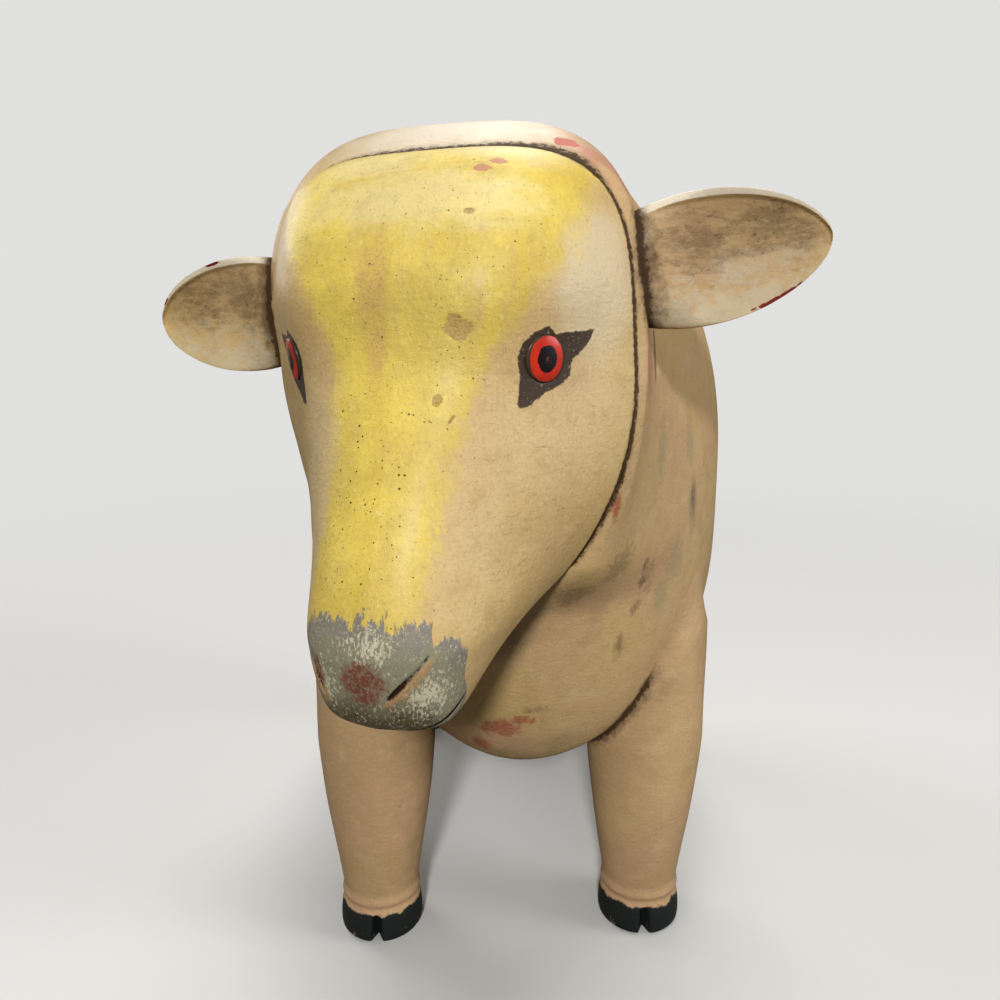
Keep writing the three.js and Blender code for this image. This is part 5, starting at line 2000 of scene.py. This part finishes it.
@dataclass
class Studio:
    """The floor, the soft light and the camera."""

    origin: Vector
    camera_place: tuple = (-3.0, -193.301, 149.0)
    camera_pitch: float = math.radians(10)
    lens: float = 28.08
    clip_start: float = 0.005
    floor_size: float = 6.0
    floor_squares: int = 8
    floor_fade: tuple = (0.15, 0.85)
    backdrop: tuple = (0.75, 0.75, 0.74, 1.0)
    daylight: tuple = (1.0, 0.985, 0.96, 1.0)
    world_strength: float = 0.06
    lamps: tuple = (
        ("front_lamp", (-0.1, -1.41, 0.77), (0.0, -0.08, 0.1), 0.16, 16.3),
        ("top_lamp", (0.03, -0.36, 1.68), (0.0, -0.08, 0.1), 0.45, 8.4),
        ("side_lamp", (1.3, -0.3, 0.5), (0.0, 0.0, 0.1), 0.7, 7.8),
        ("back_lamp", (0.1, 0.9, 1.35), (0.0, 0.0, 0.15), 0.6, 6.5),
        ("far_side_lamp", (-1.2, 0.9, 0.8), (0.0, 0.03, 0.1), 1.0, 9.0),
    )

    def build(self) -> None:
        """Sets up the floor, lamps, world and camera."""
        self._floor()
        for name, place, target, size, power in self.lamps:
            lamp = bpy.data.lights.new(name, "AREA")
            lamp.shape = "DISK"
            lamp.size = size
            lamp.energy = power
            self._stand(bpy.data.objects.new(name, lamp), Vector(place), Vector(target))
        scene = bpy.context.scene
        scene.world = self._world()
        scene.view_settings.view_transform = "Standard"
        camera = bpy.data.cameras.new("photo_camera")
        camera.lens = self.lens
        camera.clip_start = self.clip_start
        place = (Vector(self.camera_place) + self.origin) * MILLIMETRE
        ahead = Vector((0, math.cos(self.camera_pitch), -math.sin(self.camera_pitch)))
        scene.camera = self._stand(bpy.data.objects.new("photo_camera", camera), place, place + ahead)

    def _world(self) -> bpy.types.World:
        """Makes the soft light from all round, which the camera sees as a plain pale backdrop.

        Returns:
            The world.
        """
        bench = Bench(bpy.data.worlds.new("soft_daylight"))
        light = bench.wire("ShaderNodeBackground", None, {"Color": self.daylight, "Strength": self.world_strength})
        shown = bench.wire("ShaderNodeBackground", None, {"Color": self.backdrop, "Strength": 1.0})
        seen = bench.wire("ShaderNodeLightPath", output="Is Camera Ray")
        choice = bench.wire("ShaderNodeMixShader", None, {0: seen, 1: light, 2: shown})
        bench.node("ShaderNodeOutputWorld", None, {"Surface": choice})
        return bench.owner

    def _stand(self, thing: bpy.types.Object, place: Vector, target: Vector) -> bpy.types.Object:
        """Puts a lamp or camera at a place, facing a target.

        Args:
            thing: the lamp or camera.
            place: where it stands, in metres.
            target: what it faces.

        Returns:
            The same object.
        """
        thing.location = place
        thing.rotation_euler = (target - place).to_track_quat("-Z", "Y").to_euler()
        bpy.context.scene.collection.objects.link(thing)
        return thing

    def _floor(self) -> None:
        """Lays the plain pale floor, which runs into the backdrop far from the figure."""
        mesh = bmesh.new()
        bmesh.ops.create_grid(
            mesh, x_segments=self.floor_squares, y_segments=self.floor_squares, size=self.floor_size,
        )
        floor = new_object(mesh, "floor")
        bench = Bench.for_paint("pale_floor")
        seen = bench.wire("ShaderNodeLightPath", output="Is Camera Ray")
        colour = bench.blend(seen, Pigment.FLOOR_IN_LIGHT, Pigment.FLOOR)
        plain = bench.wire("ShaderNodeBsdfDiffuse", None, {"Color": colour})
        away = bench.wire("ShaderNodeVectorMath", {"operation": "LENGTH"}, {0: bench.place}, output="Value")
        backdrop = bench.wire("ShaderNodeEmission", None, {"Color": self.backdrop})
        far = bench.step(away, *self.floor_fade) * seen
        surface = bench.wire("ShaderNodeMixShader", None, {0: far, 1: plain, 2: backdrop})
        bench.node("ShaderNodeOutputMaterial", None, {"Surface": surface})
        floor.data.materials.append(bench.owner)


def new_object(mesh: Mesh, name: str) -> bpy.types.Object:
    """Turns a finished mesh into an object of the scene.

    Args:
        mesh: the mesh, which is used up.
        name: the object's name.

    Returns:
        The object, smooth apart from its sharp edges.
    """
    data = bpy.data.meshes.new(name)
    mesh.to_mesh(data)
    mesh.free()
    data.polygons.foreach_set("use_smooth", [True] * len(data.polygons))
    data.set_sharp_from_angle(angle=SHARP_EDGE)
    made = bpy.data.objects.new(name, data)
    bpy.context.scene.collection.objects.link(made)
    return made


@dataclass
class Figure:
    """The whole sheep, put together from its pieces."""

    stance: float = 70.0
    hind_legs: float = 115.0
    hind_swell: float = 1.12
    front_right_step: float = 3.0

    def build(self) -> None:
        """Models, paints and sets down every piece."""
        body = BodyBlock(BodyPaint("body_paint", rosiness=0.65, staining=0.38, mottling=0.34))
        body.build()
        tree = tree_of(body.mesh)
        head_paint = HeadPaint("head_paint", Pigment.CREAM, Pigment.PALE_CREAM, rosiness=0.3, staining=0.3, grain=0.5)
        head = HeadBlock(head_paint, body)
        head.build()
        legs = self._legs()
        ears = self._ears(head)
        tail = Tail(body)
        for piece in (*legs, *ears, tail):
            piece.build(tree)
        eyes = [Eye(hand, head) for hand in Hand]
        for eye in eyes:
            eye.build()
        body.mark([tree_outside(piece.mesh, tree) for piece in (*legs, *ears, tail)], tree_of(head.mesh))
        body_paint = body.paint.apply()
        self._set_down(body.mesh, "carved_body", "body_block", "cream_paint", body_paint)
        self._set_down(tail.mesh, "hanging_tail", "tail", "cream_paint", body_paint)
        self._set_down(head.mesh, "carved_head", "head_block", "yellow_paint", head.paint.apply())
        for pieces, made, paint in (
            (legs, "carved", LegPaint("leg_paint", Pigment.LEG_TAN, Pigment.TAN, rosiness=0.6, mottling=0.26)),
            (ears, "cupped", EarPaint("ear_paint", staining=0.6)),
            (eyes, "painted", EyePaint("eye_paint")),
        ):
            material = paint.apply()
            for piece in pieces:
                self._set_down(piece.mesh, f"{made}_{piece.name}", piece.name, paint.name, material)

    @cached_property
    def origin(self) -> Vector:
        """Where the animal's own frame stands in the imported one, read from a dowel that is centred on a leg.

        Returns:
            Its origin, in millimetres.
        """
        low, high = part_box("front_left_leg_dowel")
        middle = (low + high) / (2 * MILLIMETRE)
        return Vector((middle.x - self.stance / 2, middle.y, 0))

    def _ears(self, head: HeadBlock) -> list[Ear]:
        """The two ears, the right one set lower.

        Args:
            head: the head that they stand beside.

        Returns:
            The left and the right ear.
        """
        left_chips = (((21.5, 0.0, -7.6), (9.0, 6.0, 4.0)),)
        right_chips = (((-17.0, -1.0, 11.0), (4.0, 3.0, 1.1)), ((-31.0, 0.0, 5.0), (1.6, 3.0, 1.6)))
        return [
            Ear(Hand.LEFT, height=18.6, lift=math.radians(7), head=head, chips=left_chips),
            Ear(Hand.RIGHT, height=12.6, lift=math.radians(-4), head=head, chips=right_chips),
        ]

    def _legs(self) -> list[Leg]:
        """The four legs at their places.

        Returns:
            The front pair and the hind pair, each from left to right.
        """
        legs = []
        for end, place, swell in (("front", 0.0, 1.0), ("hind", self.hind_legs, self.hind_swell)):
            for hand in Hand:
                step = self.front_right_step if end == "front" and hand is Hand.RIGHT else 0.0
                legs.append(Leg(end, hand, (hand.value * self.stance / 2, place - step), swell))
        return legs

    def _set_down(self, mesh: Mesh, name: str, node: str, slot: str, material: Material) -> None:
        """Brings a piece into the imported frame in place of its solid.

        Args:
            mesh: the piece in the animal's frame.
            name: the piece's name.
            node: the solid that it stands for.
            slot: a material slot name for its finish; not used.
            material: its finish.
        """
        mesh.transform(Matrix.Scale(MILLIMETRE, 4) @ Matrix.Translation(self.origin))
        piece = new_object(mesh, name)
        piece.data.materials.append(material)
        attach(piece, BODY)
        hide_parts(node)
        LOG.info("%s stands for %s with %d faces", name, node, len(piece.data.polygons))


def dress_dowels(nodes: dict[str, bpy.types.Object]) -> None:
    """Gives the hidden dowels their bare wood.

    Args:
        nodes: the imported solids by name.
    """
    wood = BareWood("bare_wood").apply()
    for name, node in nodes.items():
        if "dowel" in name:
            node.data.materials.clear()
            node.data.materials.append(wood)
            LOG.info("%s is bare wood", name)


def main() -> None:
    """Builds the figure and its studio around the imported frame."""
    logging.basicConfig(level=logging.INFO, format="%(name)s: %(message)s")
    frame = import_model()
    figure = Figure()
    Studio(figure.origin).build()
    figure.build()
    dress_dowels(frame["nodes"])


if __name__ == "__main__":
    main()
